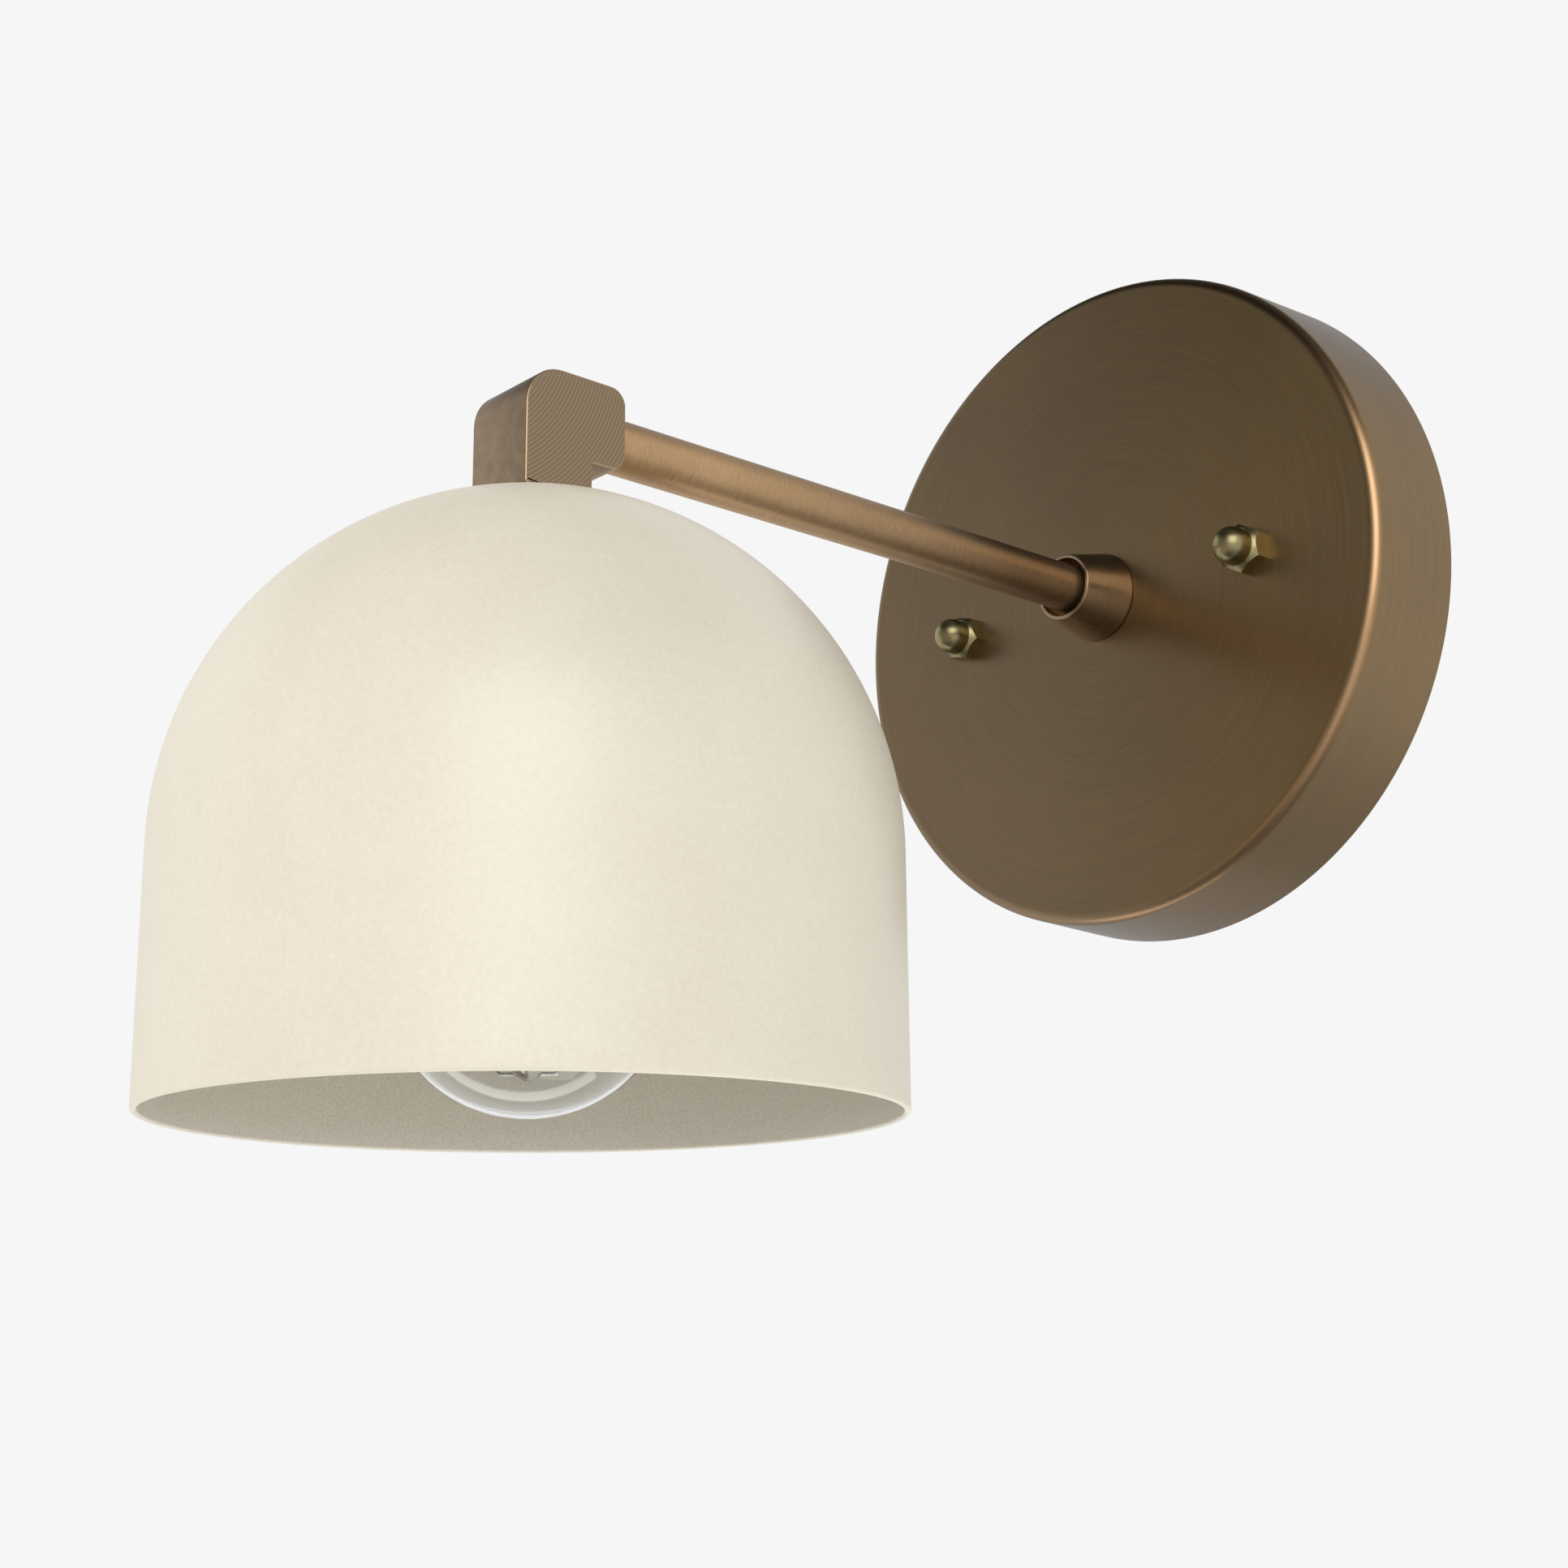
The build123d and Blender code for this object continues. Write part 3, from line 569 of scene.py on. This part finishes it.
@dataclass
class WallPlate:
    """Canopy, collar, arm and cap nuts: all turned about the arm, out from the wall."""

    brass: Finish
    collar_brass: Finish
    arm_brass: Finish
    nut_brass: Finish
    projection: float
    radius: float = 63.5
    front_radius: float = 62.6
    depth: float = 21.2
    edge_radius: float = 2.0
    rim_tint: float = 0.45
    # The front edge's fillet is painted lighter copper in a band round one angle, on the lit side only: a painted
    # highlight.
    highlight_angle: float = 45.0
    highlight_spread: float = 22.0
    lit_side_middle: float = -30.0
    lit_side_reach: float = 95.0
    lit_side_fade: float = 45.0
    wall: float = 1.2
    break_edge: float = 0.25
    arm_hole: float = 4.05
    arm_radius: float = 4.4
    arm_bore: float = 2.7
    thread_radius: float = 4.0
    collar_base: float = 8.6
    collar_tip: float = 6.2
    collar_length: float = 10.3
    collar_lip: float = 0.65
    collar_web: float = 4.0
    collar_radii: tuple[float, ...] = (0.1, 0.35, 0.2, 0.15, 0.2, 0.1)
    arm_radii: tuple[float, ...] = (0.15, 0.4, 0.05, 0.15, 0.1, 0.05, 0.4, 0.15)
    edge_steps: int = 16
    segments: int = 256
    collar_segments: int = 160
    arm_segments: int = 128

    def build_canopy(self) -> None:
        """Spun cup, wider at its open back: flat face, rounded front edge with a painted highlight on one side."""
        inner = self.radius - self.wall
        deep = self.depth - self.wall
        corners = [(self.arm_hole, self.depth), (self.front_radius, self.depth), (self.radius, 0), (inner, 0),
                   (self.front_radius - self.wall, deep), (self.arm_hole, deep)]
        edge = self.break_edge
        radii = [edge, self.edge_radius, edge, edge, self.edge_radius - self.wall, edge]
        steps, segments = self.edge_steps, self.segments
        profile = rounded(corners, radii, steps)
        # Painted highlight: the band across the fillet, and its fade away from the lit side.
        rub_and_highlight = np.exp(-((np.linspace(0, 90, steps) - self.highlight_angle) / self.highlight_spread) ** 2)
        away = np.abs((np.linspace(0, 360, segments, endpoint=False) - self.lit_side_middle + 180) % 360 - 180)
        share = np.clip((self.lit_side_reach - away) / self.lit_side_fade, 0, 1)
        wear_and_highlight = np.zeros((len(profile), segments))
        start = len(profile) // len(corners) + 1
        wear_and_highlight[start:start + steps] = rub_and_highlight[:, None] * share
        tinted = np.where(profile[:, 1] > self.depth - self.edge_radius, 1.0, self.rim_tint)
        cup = turned("canopy_cup", profile, Axis.ARM, self.projection, segments=segments,
                     marks={EDGE_WEAR_AND_HIGHLIGHT: wear_and_highlight, TINTED: tinted})
        settle(cup, self.brass, Body.FIXTURE, "aged_brass", "canopy")

    def build_collar(self) -> None:
        """Tapered collar with a thin lip that the arm drops into."""
        tip = self.depth + self.collar_length
        web = self.depth + self.collar_web
        lip = self.collar_tip - self.collar_lip
        corners = [(self.arm_hole, self.depth), (self.collar_base, self.depth), (self.collar_tip, tip), (lip, tip),
                   (lip, web), (self.arm_hole, web)]
        profile = rounded(corners, self.collar_radii)
        collar = turned("tapered_collar", profile, Axis.ARM, self.projection, segments=self.collar_segments)
        settle(collar, self.collar_brass, Body.FIXTURE, "aged_brass", "arm_collar")

    def build_arm(self) -> None:
        """Straight arm with a turned-down thread at each end and a bore for the leads."""
        low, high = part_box("arm_tube")
        start, end = -high.y / MM, -low.y / MM
        shoulder = self.depth + self.collar_web
        block_back = -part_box("elbow_block")[1].y / MM
        corners = [(self.arm_bore, start), (self.thread_radius, start), (self.thread_radius, shoulder),
                   (self.arm_radius, shoulder), (self.arm_radius, block_back), (self.thread_radius, block_back),
                   (self.thread_radius, end), (self.arm_bore, end)]
        profile = rounded(corners, self.arm_radii)
        arm = turned("arm_rod", profile, Axis.ARM, self.projection, segments=self.arm_segments,
                     marks={TINTED: np.ones(len(profile))})
        settle(arm, self.arm_brass, Body.FIXTURE, "aged_brass", "arm_tube")

    def dress(self) -> None:
        """Gives the cap nuts, which stay as they are in the frame, their polished brass."""
        dress_node("cap_nuts", self.nut_brass)

    def build(self) -> None:
        """Builds and dresses every piece on the arm's line."""
        self.build_canopy()
        self.build_collar()
        self.build_arm()
        self.dress()


@dataclass
class ElbowBlock:
    """L-shaped brass block at the end of the arm."""

    brass: Finish
    projection: float
    width: float = 14.2
    front: float = 7.35
    leg_back: float = 5.15
    back: float = 11.5
    rise: float = 6.35
    notch_drop: float = 7.35
    drop: float = 14.3
    front_top_radius: float = 6.8
    back_radius: float = 2.8
    foot_chamfer: float = 1.2
    break_edge: float = 0.28
    corner_steps: int = 12
    edge_steps: int = 6
    cap_inset: float = 2.2

    def build(self) -> None:
        """Carries the L outline across the width, drawn in at both ends by a small rounded edge."""
        axis = -self.projection
        ahead, behind, leg = axis - self.front, axis + self.back, axis + self.leg_back
        chamfer = self.foot_chamfer
        corners = [(ahead + chamfer, -self.drop), (ahead, -self.drop + chamfer), (ahead, self.rise),
                   (behind, self.rise), (behind, -self.notch_drop), (leg, -self.notch_drop), (leg, -self.drop)]
        edge = self.break_edge
        radii = [edge, edge, self.front_top_radius, self.back_radius, self.back_radius, edge, edge]
        outline = rounded(corners, radii, self.corner_steps)[::-1]
        side = np.roll(outline, -1, axis=0) - np.roll(outline, 1, axis=0)
        inward = np.stack([-side[:, 1], side[:, 0]], axis=1) / np.linalg.norm(side, axis=1, keepdims=True)
        bend = np.radians(np.linspace(0, 90, self.edge_steps))
        draw_in = edge * np.concatenate([[self.cap_inset], 1 - np.sin(bend)])
        reach = self.width / 2 - edge * np.concatenate([[0.0], 1 - np.cos(bend)])
        draw_in = np.concatenate([draw_in, draw_in[::-1]])
        reach = np.concatenate([reach, -reach[::-1]])
        rings = outline[None] + inward[None] * draw_in[:, None, None]
        x = np.broadcast_to(reach[:, None, None], (*rings.shape[:2], 1))
        grid = np.concatenate([x, rings], axis=2)
        rows, count = rings.shape[:2]
        i, j = np.meshgrid(np.arange(rows - 1), np.arange(count), indexing="ij")
        right = (j + 1) % count
        faces = np.stack([i * count + j, i * count + right, (i + 1) * count + right, (i + 1) * count + j], axis=-1)
        # Lighter copper on the small rounded edges at both ends: partly wear, partly a painted highlight on the
        # arris.
        rub_and_highlight = np.concatenate([[0.0], np.sin(2 * bend)])
        marks = {MILLED: np.repeat(np.abs(reach) == self.width / 2, count),
                 EDGE_WEAR_AND_HIGHLIGHT: np.repeat(np.concatenate([rub_and_highlight, rub_and_highlight[::-1]]), count)}
        block = mesh_object("elbow_bar", grid.reshape(-1, 3) * MM, faces.reshape(-1, 4), attributes=marks)
        work = bmesh.new()
        work.from_mesh(block.data)
        rim = [e for e in work.edges if e.is_boundary]
        bmesh.ops.contextual_create(work, geom=[e for e in rim if e.verts[0].co.x > 0])
        bmesh.ops.contextual_create(work, geom=[e for e in rim if e.verts[0].co.x < 0])
        bmesh.ops.recalc_face_normals(work, faces=work.faces)
        work.to_mesh(block.data)
        work.free()
        settle(block, self.brass, Body.FIXTURE, "milled_brass", "elbow_block")


@dataclass
class Shade:
    """Dome shade: a straight skirt under a half sphere with a small flat seat."""

    paint: Finish
    projection: float
    radius: float = 55.25
    skirt: float = 38.1
    wall: float = 1.0
    seat_radius: float = 8.0
    hole: float = 4.3
    seat_z: float = -14.3
    dome_rows: int = 56
    skirt_rows: int = 12
    rim_rows: int = 12
    segments: int = 256

    def build(self) -> None:
        """Turns the shell: outer dome and skirt, a rounded rim and the inner skirt and dome."""
        dome_z = self.seat_z - sqrt(self.radius**2 - self.seat_radius**2)
        rim_z = dome_z - self.skirt
        inner = self.radius - self.wall
        under_z = self.seat_z - self.wall
        seat_angle = np.degrees(np.arccos(self.seat_radius / self.radius))
        under_angle = np.degrees(np.arcsin((under_z - dome_z) / inner))
        lip = self.wall / 2
        outer_dome = arc((0, dome_z), self.radius, seat_angle, 0, self.dome_rows)
        rows = np.linspace(0, 1, self.skirt_rows)[1:, None]
        outer_skirt = outer_dome[-1:] + rows * np.array([[0, rim_z + lip - dome_z]])
        rim = arc((self.radius - lip, rim_z + lip), lip, 0, -180, self.rim_rows)[1:-1]
        inner_skirt = np.array([[inner, rim_z + lip]]) + (rows - rows[0]) * np.array([[0, dome_z - rim_z - lip]])
        inner_dome = arc((0, dome_z), inner, 0, under_angle, self.dome_rows)[1:]
        seat = np.array([[self.hole, under_z], [self.hole, self.seat_z]])
        middle = len(rim) // 2
        outside = np.vstack([outer_dome, outer_skirt, rim[:middle]])
        inside = np.vstack([rim[middle:], inner_skirt, inner_dome, seat[:1]])
        profile = np.vstack([outside, inside, seat[1:]])
        mask = np.concatenate([np.zeros(len(outside)), np.ones(len(inside)), np.zeros(1)])
        shell = turned("dome_shade", profile, Axis.SHADE, self.projection, segments=self.segments,
                       marks={INSIDE: mask})
        settle(shell, self.paint, Body.FIXTURE, "cream_powder_coat", "shade")


@dataclass
class Globe:
    """Glass globe of the lamp, drawn in to a neck inside the base."""

    glass: Finish
    projection: float
    radius: float = 22.2
    wall: float = 0.5
    neck: float = 11.4
    blend: float = 6.0
    ball_rows: int = 64
    cove_rows: int = 16

    def outline(self, inset: float, centre_z: float, top_z: float) -> np.ndarray:
        """Half outline of ball, cove and neck, drawn in by an inset.

        Args:
            inset: distance inside the outer skin.
            centre_z: height of the ball's centre.
            top_z: height of the neck's end.

        Returns:
            Points of (radius, height) from the foot of the ball to the end of the neck.
        """
        ball = self.radius - inset
        neck = self.neck - inset
        cove = self.blend + inset
        cove_r = neck + cove
        cove_z = centre_z + sqrt((ball + cove) ** 2 - cove_r**2)
        meet = np.degrees(np.arctan2(cove_z - centre_z, cove_r))
        return np.vstack([
            arc((0, centre_z), ball, -90, meet, self.ball_rows),
            arc((cove_r, cove_z), cove, 180 + meet, 180, self.cove_rows)[1:],
            [[neck, top_z]]])

    def build(self) -> None:
        """Turns the glass wall, outer skin and inner skin, into one closed shell."""
        low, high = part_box("globe_glass")
        centre_z = low.z / MM + self.radius
        top_z = high.z / MM
        outer = self.outline(0.0, centre_z, top_z)
        inner = self.outline(self.wall, centre_z, top_z)[::-1]
        shell = turned("glass_globe", np.vstack([outer, inner]), Axis.SHADE, self.projection, closed=False)
        settle(shell, self.glass, Body.LAMP, "clear_glass", "globe_glass")


def dress_node(node: str, finish: Finish) -> None:
    """Gives a CAD node that stays as it is a better material.

    Args:
        node: the CAD node's name.
        finish: the finish of its real material.
    """
    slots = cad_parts[node].data.materials
    slots.clear()
    slots.append(finish.material())
    log.info("%s keeps its solid and gets %s", node, finish.name)


@dataclass
class InnerParts:
    """The pieces that stay as they are in the frame, each with the finish of its real material."""

    zinc: Finish = Finish(
        "zinc_plated_steel", "#9a9a96", "#c4c3bd", metallic=1.0, roughness=0.38, mottle_mm=3.0,
        rough_spread=0.1, bump_mm=0.01)
    brass: Finish = Finish(
        "bright_brass", "#b8923f", "#d9b763", metallic=1.0, roughness=0.28, mottle_mm=1.5,
        rough_spread=0.08, bump_mm=0.008)
    green: Finish = Finish(
        "green_dyed_steel", "#1d6b37", "#2c8a4a", metallic=0.6, roughness=0.4, mottle_mm=1.0,
        rough_spread=0.08, bump_mm=0.008)
    tin: Finish = Finish(
        "tinned_copper", "#aaa8a2", "#c9c6be", metallic=1.0, roughness=0.35, mottle_mm=1.0,
        rough_spread=0.1, bump_mm=0.01)
    copper: Finish = Finish(
        "bare_copper", "#a8623c", "#c98258", metallic=1.0, roughness=0.3, mottle_mm=0.8,
        rough_spread=0.08, bump_mm=0.008)
    phenolic: Finish = Finish(
        "black_phenolic", "#141311", "#211f1c", metallic=0.0, roughness=0.45, mottle_mm=2.0,
        rough_spread=0.1, bump_mm=0.02)
    porcelain: Finish = Finish(
        "glazed_porcelain", "#dcd9d0", "#efede6", metallic=0.0, roughness=0.2, mottle_mm=4.0,
        rough_spread=0.06, bump_mm=0.02, coat=0.5)
    black_jacket: Finish = Finish(
        "black_wire_jacket", "#121212", "#1e1e1d", metallic=0.0, roughness=0.5, mottle_mm=0.6,
        rough_spread=0.08, bump_mm=0.01)
    white_jacket: Finish = Finish(
        "white_wire_jacket", "#cfcec8", "#e2e1db", metallic=0.0, roughness=0.5, mottle_mm=0.6,
        rough_spread=0.08, bump_mm=0.01)
    connector: Finish = Finish(
        "orange_connector_plastic", "#b8611c", "#d0762a", metallic=0.0, roughness=0.45, mottle_mm=1.2,
        rough_spread=0.08, bump_mm=0.03)
    stem_glass: Finish = Glass(
        "drawn_stem_glass", "#f4f6f6", "#ffffff", metallic=0.0, roughness=0.05, mottle_mm=3.0,
        rough_spread=0.03, bump_mm=0.01)
    phosphor: Finish = Finish(
        "filament_phosphor", "#b39a55", "#c9b470", metallic=0.0, roughness=0.6, mottle_mm=0.5,
        rough_spread=0.08, bump_mm=0.02)
    nickel: Finish = Finish(
        "nickel_plate", "#a9a7a1", "#cbc8c0", metallic=1.0, roughness=0.25, mottle_mm=1.5,
        rough_spread=0.08, bump_mm=0.006)
    vitrite: Finish = Finish(
        "black_vitrite", "#08080a", "#121215", metallic=0.0, roughness=0.15, mottle_mm=2.0,
        rough_spread=0.05, bump_mm=0.01)
    board: Finish = Finish(
        "green_circuit_board", "#15482a", "#1f6238", metallic=0.0, roughness=0.4, mottle_mm=1.0,
        rough_spread=0.1, bump_mm=0.02)

    def build(self) -> None:
        """Dresses each of these nodes."""
        wanted = {
            "mounting_plate": self.zinc, "fixture_studs": self.zinc, "stud_lock_nuts": self.zinc,
            "earth_screw": self.green, "earth_lug": self.tin, "earth_lead": self.copper,
            "canopy_lock_washer": self.zinc, "canopy_nut": self.brass, "shade_nipple": self.zinc,
            "shade_washer": self.zinc, "shade_nut": self.brass, "socket_cap": self.phenolic,
            "socket_cap_screws": self.zinc, "socket_body": self.porcelain, "socket_screw_shell": self.brass,
            "socket_centre_contact": self.brass, "socket_terminal_screws": self.brass,
            "live_lead": self.black_jacket, "neutral_lead": self.white_jacket, "wire_connectors": self.connector,
            "globe_stem": self.stem_glass, "globe_filaments": self.phosphor, "filament_wires": self.nickel,
            "lamp_base_shell": self.nickel, "lamp_base_insulator": self.vitrite, "lamp_base_contact": self.nickel,
            "lamp_driver": self.board}
        for node, finish in wanted.items():
            dress_node(node, finish)


@dataclass
class Softbox:
    """A square or oblong studio lamp that faces a point."""

    name: str
    place: tuple[float, float, float]
    side: float
    watts: float
    mirrored: bool = True
    aim: tuple[float, float, float] = (0.0, -0.1, -0.03)
    depth: float = 0.0
    turn: float = 0.0

    def build(self) -> None:
        """Adds the lamp, faces it to its aim and turns it about that line; with no depth it is square."""
        lamp = bpy.data.lights.new(self.name, "AREA")
        lamp.shape = "RECTANGLE"
        lamp.size = self.side
        lamp.size_y = self.depth or self.side
        lamp.energy = self.watts
        made = bpy.data.objects.new(self.name, lamp)
        made.location = self.place
        made.visible_camera = False
        made.visible_glossy = self.mirrored
        way = Vector(self.aim) - Vector(self.place)
        facing = Matrix.Rotation(radians(self.turn), 3, way) @ way.to_track_quat("-Z", "Y").to_matrix()
        made.rotation_euler = facing.to_euler()
        bpy.context.scene.collection.objects.link(made)


@dataclass
class Studio:
    """Pale floor and world, soft lamps and the camera at the photograph's angle."""

    camera_place: tuple[float, float, float] = (278.76, -351.19, -142.92)
    azimuth: float = 48.228
    elevation: float = -14.032
    roll: float = -0.531
    focal_pixels: float = 2902.98
    sensor_mm: float = 36.0
    clip_near: float = 0.01
    backdrop: str = "#f6f6f6"
    floor_z: float = -0.62
    floor_side: float = 3.0
    world_strength: float = 0.64
    front_low: float = 0.36
    front_high: float = 0.12
    front_rise: tuple[float, float] = (0.15, 0.55)
    back_edge: tuple[float, float] = (-0.35, 0.1)
    left_edge: tuple[float, float] = (-0.5, -0.8)
    right_edge: tuple[float, float] = (0.1, 0.5)
    ceiling_level: float = 0.12
    ceiling_slope: float = 0.8
    ceiling_least: float = 0.25
    ceiling_edge: tuple[float, float] = (0.38, 0.52)
    ground_level: float = 0.32
    ground_edge: tuple[float, float] = (-0.35, -0.95)
    lamps: list[Softbox] = field(default_factory=lambda: [
        Softbox("front_left_softbox", (-0.4, -1.25, 0.36), 0.5, 4.2, mirrored=False),
        Softbox("camera_softbox", (0.95, -0.83, 0.42), 0.9, 5.05),
        Softbox("bounce_card", (-0.31, 0.01, -0.6), 0.8, 0.63, aim=(-0.31, 0.01, 0.0), depth=0.17, turn=48.2),
        Softbox("floor_bounce", (0.2, -0.1, -0.6), 0.5, 1.2, mirrored=False, aim=(0.2, -0.1, 0.0)),
    ])

    def build_camera(self) -> None:
        """Places the camera from its azimuth, elevation and roll."""
        az, el, roll = radians(self.azimuth), radians(self.elevation), radians(self.roll)
        back = Vector((sin(az) * cos(el), -cos(az) * cos(el), sin(el)))
        right = (-back).cross(Vector((0, 0, 1))).normalized()
        up = right.cross(-back)
        across = right * cos(roll) + up * sin(roll)
        upright = up * cos(roll) - right * sin(roll)
        data = bpy.data.cameras.new("photo_camera")
        data.sensor_width = self.sensor_mm
        data.lens = self.focal_pixels * self.sensor_mm / PHOTO_SIDE
        data.clip_start = self.clip_near
        made = bpy.data.objects.new("photo_camera", data)
        turn = Matrix((across, upright, back)).transposed().to_4x4()
        made.matrix_world = Matrix.Translation(Vector(self.camera_place) * MM) @ turn
        bpy.context.scene.collection.objects.link(made)
        bpy.context.scene.camera = made

    def build_world(self) -> None:
        """Lights the object softly from all round, and shows the pale backdrop to camera, glass and gloss.

        For gloss the backdrop stands behind and at both sides: its share rises with the ray's Y and with the size
        of its X. The room before the fixture is dimmer, most of all higher up. The ceiling is dark, from higher up
        towards the back, and the ground is dimmer the further down it lies.
        """
        world = bpy.data.worlds.new("studio_world")
        bpy.context.scene.world = world
        world.use_nodes = True
        tree = world.node_tree
        tree.nodes.clear()
        path = add(tree, "LightPath")
        seen = add(tree, "Math", {
            0: path.outputs["Is Camera Ray"], 1: path.outputs["Is Transmission Ray"]}, operation="MAXIMUM")
        way = add(tree, "TexCoord")
        parts = add(tree, "SeparateXYZ", {0: way.outputs["Generated"]})
        behind = add(tree, "MapRange", {
            "Value": parts.outputs["Y"], "From Min": self.back_edge[0], "From Max": self.back_edge[1]},
            interpolation_type="SMOOTHSTEP")
        beside = add(tree, "MapRange", {
            "Value": parts.outputs["X"], "From Min": self.left_edge[0], "From Max": self.left_edge[1]},
            interpolation_type="SMOOTHSTEP")
        facing = add(tree, "MapRange", {
            "Value": parts.outputs["X"], "From Min": self.right_edge[0], "From Max": self.right_edge[1]},
            interpolation_type="SMOOTHSTEP")
        sides = add(tree, "Math", {0: beside.outputs[0], 1: facing.outputs[0]}, operation="MAXIMUM")
        share = add(tree, "Math", {0: behind.outputs[0], 1: sides.outputs[0]}, operation="MAXIMUM")
        front = add(tree, "MapRange", {
            "Value": parts.outputs["Z"], "From Min": self.front_rise[0], "From Max": self.front_rise[1],
            "To Min": self.front_low, "To Max": self.front_high})
        wall = add(tree, "MapRange", {"Value": share.outputs[0], "To Min": front.outputs[0], "To Max": 1.0})
        depth = add(tree, "Math", {0: parts.outputs["Y"], 1: self.ceiling_least}, operation="MAXIMUM")
        height = add(tree, "Math", {
            0: depth.outputs[0], 1: -self.ceiling_slope, 2: parts.outputs["Z"]}, operation="MULTIPLY_ADD")
        ceiling = add(tree, "MapRange", {
            "Value": height.outputs[0], "From Min": self.ceiling_edge[0], "From Max": self.ceiling_edge[1],
            "To Min": 1.0, "To Max": self.ceiling_level}, interpolation_type="SMOOTHSTEP")
        ground = add(tree, "MapRange", {
            "Value": parts.outputs["Z"], "From Min": self.ground_edge[0], "From Max": self.ground_edge[1],
            "To Min": 1.0, "To Max": self.ground_level}, interpolation_type="SMOOTHSTEP")
        upright = add(tree, "Math", {0: wall.outputs[0], 1: ceiling.outputs[0]}, operation="MULTIPLY")
        room = add(tree, "Math", {0: upright.outputs[0], 1: ground.outputs[0]}, operation="MULTIPLY")
        shown = add(tree, "Math", {0: seen.outputs[0], 1: room.outputs[0]}, operation="MAXIMUM")
        light = add(tree, "Background", {"Color": (1, 1, 1, 1), "Strength": self.world_strength})
        pale = add(tree, "Background", {"Color": linear(self.backdrop), "Strength": shown.outputs[0]})
        bright = add(tree, "Math", {0: seen.outputs[0], 1: path.outputs["Is Glossy Ray"]}, operation="MAXIMUM")
        both = add(tree, "MixShader", {0: bright.outputs[0], 1: light.outputs[0], 2: pale.outputs[0]})
        add(tree, "OutputWorld", {0: both.outputs[0]})

    def build_floor(self) -> None:
        """Lays a plain pale floor well below the fixture."""
        half = self.floor_side / 2
        corner = np.array([[-half, -half], [half, -half], [half, half], [-half, half]])
        points = np.column_stack([corner, np.full(4, self.floor_z)])
        floor = mesh_object("studio_floor", points, np.array([[0, 1, 2, 3]]))
        pale = Finish(
            "pale_floor", "#e9e9e7", "#f2f2f0", metallic=0.0, roughness=0.8, mottle_mm=40.0, rough_spread=0.05,
            bump_mm=0.0)
        floor.data.materials.append(pale.material())
        floor.visible_glossy = False

    def build(self) -> None:
        """Builds floor, world, lamps and camera."""
        self.build_floor()
        self.build_world()
        for lamp in self.lamps:
            lamp.build()
        self.build_camera()
        bpy.context.scene.view_settings.view_transform = "Standard"


def main() -> None:
    """Builds every sub-assembly round the frame, then the studio."""
    logging.basicConfig(level=logging.INFO, format="%(name)s: %(message)s")
    projection = 152.4
    # The lighter edge colours of the canopy and block brasses below are partly wear, partly painted highlight.
    aged_brass = TurnedBrass(
        "aged_brushed_brass", "#82705a", "#907b5c", metallic=1.0, roughness=0.33, rough_spread=0.05, bump_mm=0.004,
        contrast=1.5, wear_and_highlight="#b9997c", anisotropy=0.5, grazing="#d6dbe2", tint="#fff8e6")
    collar_brass = TurnedBrass(
        "aged_turned_brass", "#a48d70", "#b89f80", metallic=1.0, roughness=0.28, rough_spread=0.05, bump_mm=0.004,
        lines_per_turn=1.5, anisotropy=0.5)
    # The arm's tint darkens and cools it near the wall: a painted reflection of the dark canopy.
    arm_brass = TurnedBrass(
        "aged_drawn_brass", "#b0906a", "#cda97f", metallic=1.0, roughness=0.4, rough_spread=0.06, bump_mm=0.008,
        contrast=1.5, line_mm=0.28, lines_per_turn=2.0, anisotropy=0.5, cloud_mm=18.0, grazing="#e6e8ec",
        tint="#dfe3ec", tint_along="Y", tint_from_mm=-135.0, tint_to_mm=-45.0)
    milled_brass = MilledBrass(
        "aged_milled_brass", "#958068", "#b49d81", metallic=1.0, roughness=0.45, mottle_mm=2.5, rough_spread=0.06,
        bump_mm=0.02, wear_and_highlight="#c9ab8c")
    nut_brass = Finish(
        "polished_nut_brass", "#8f8562", "#a3986f", metallic=1.0, roughness=0.33, mottle_mm=1.2, rough_spread=0.06,
        bump_mm=0.005)
    cream = PowderCoat(
        "cream_powder_coat", "#e2d9c4", "#ece4d1", metallic=0.0, roughness=0.42, mottle_mm=12.0, bump_mm=0.05)
    clear = Glass(
        "clear_blown_glass", "#f7f9f9", "#ffffff", metallic=0.0, roughness=0.02, mottle_mm=8.0, rough_spread=0.015)
    WallPlate(aged_brass, collar_brass, arm_brass, nut_brass, projection).build()
    ElbowBlock(milled_brass, projection).build()
    Shade(cream, projection).build()
    Globe(clear, projection).build()
    InnerParts().build()
    Studio().build()


if __name__ == "__main__":
    main()
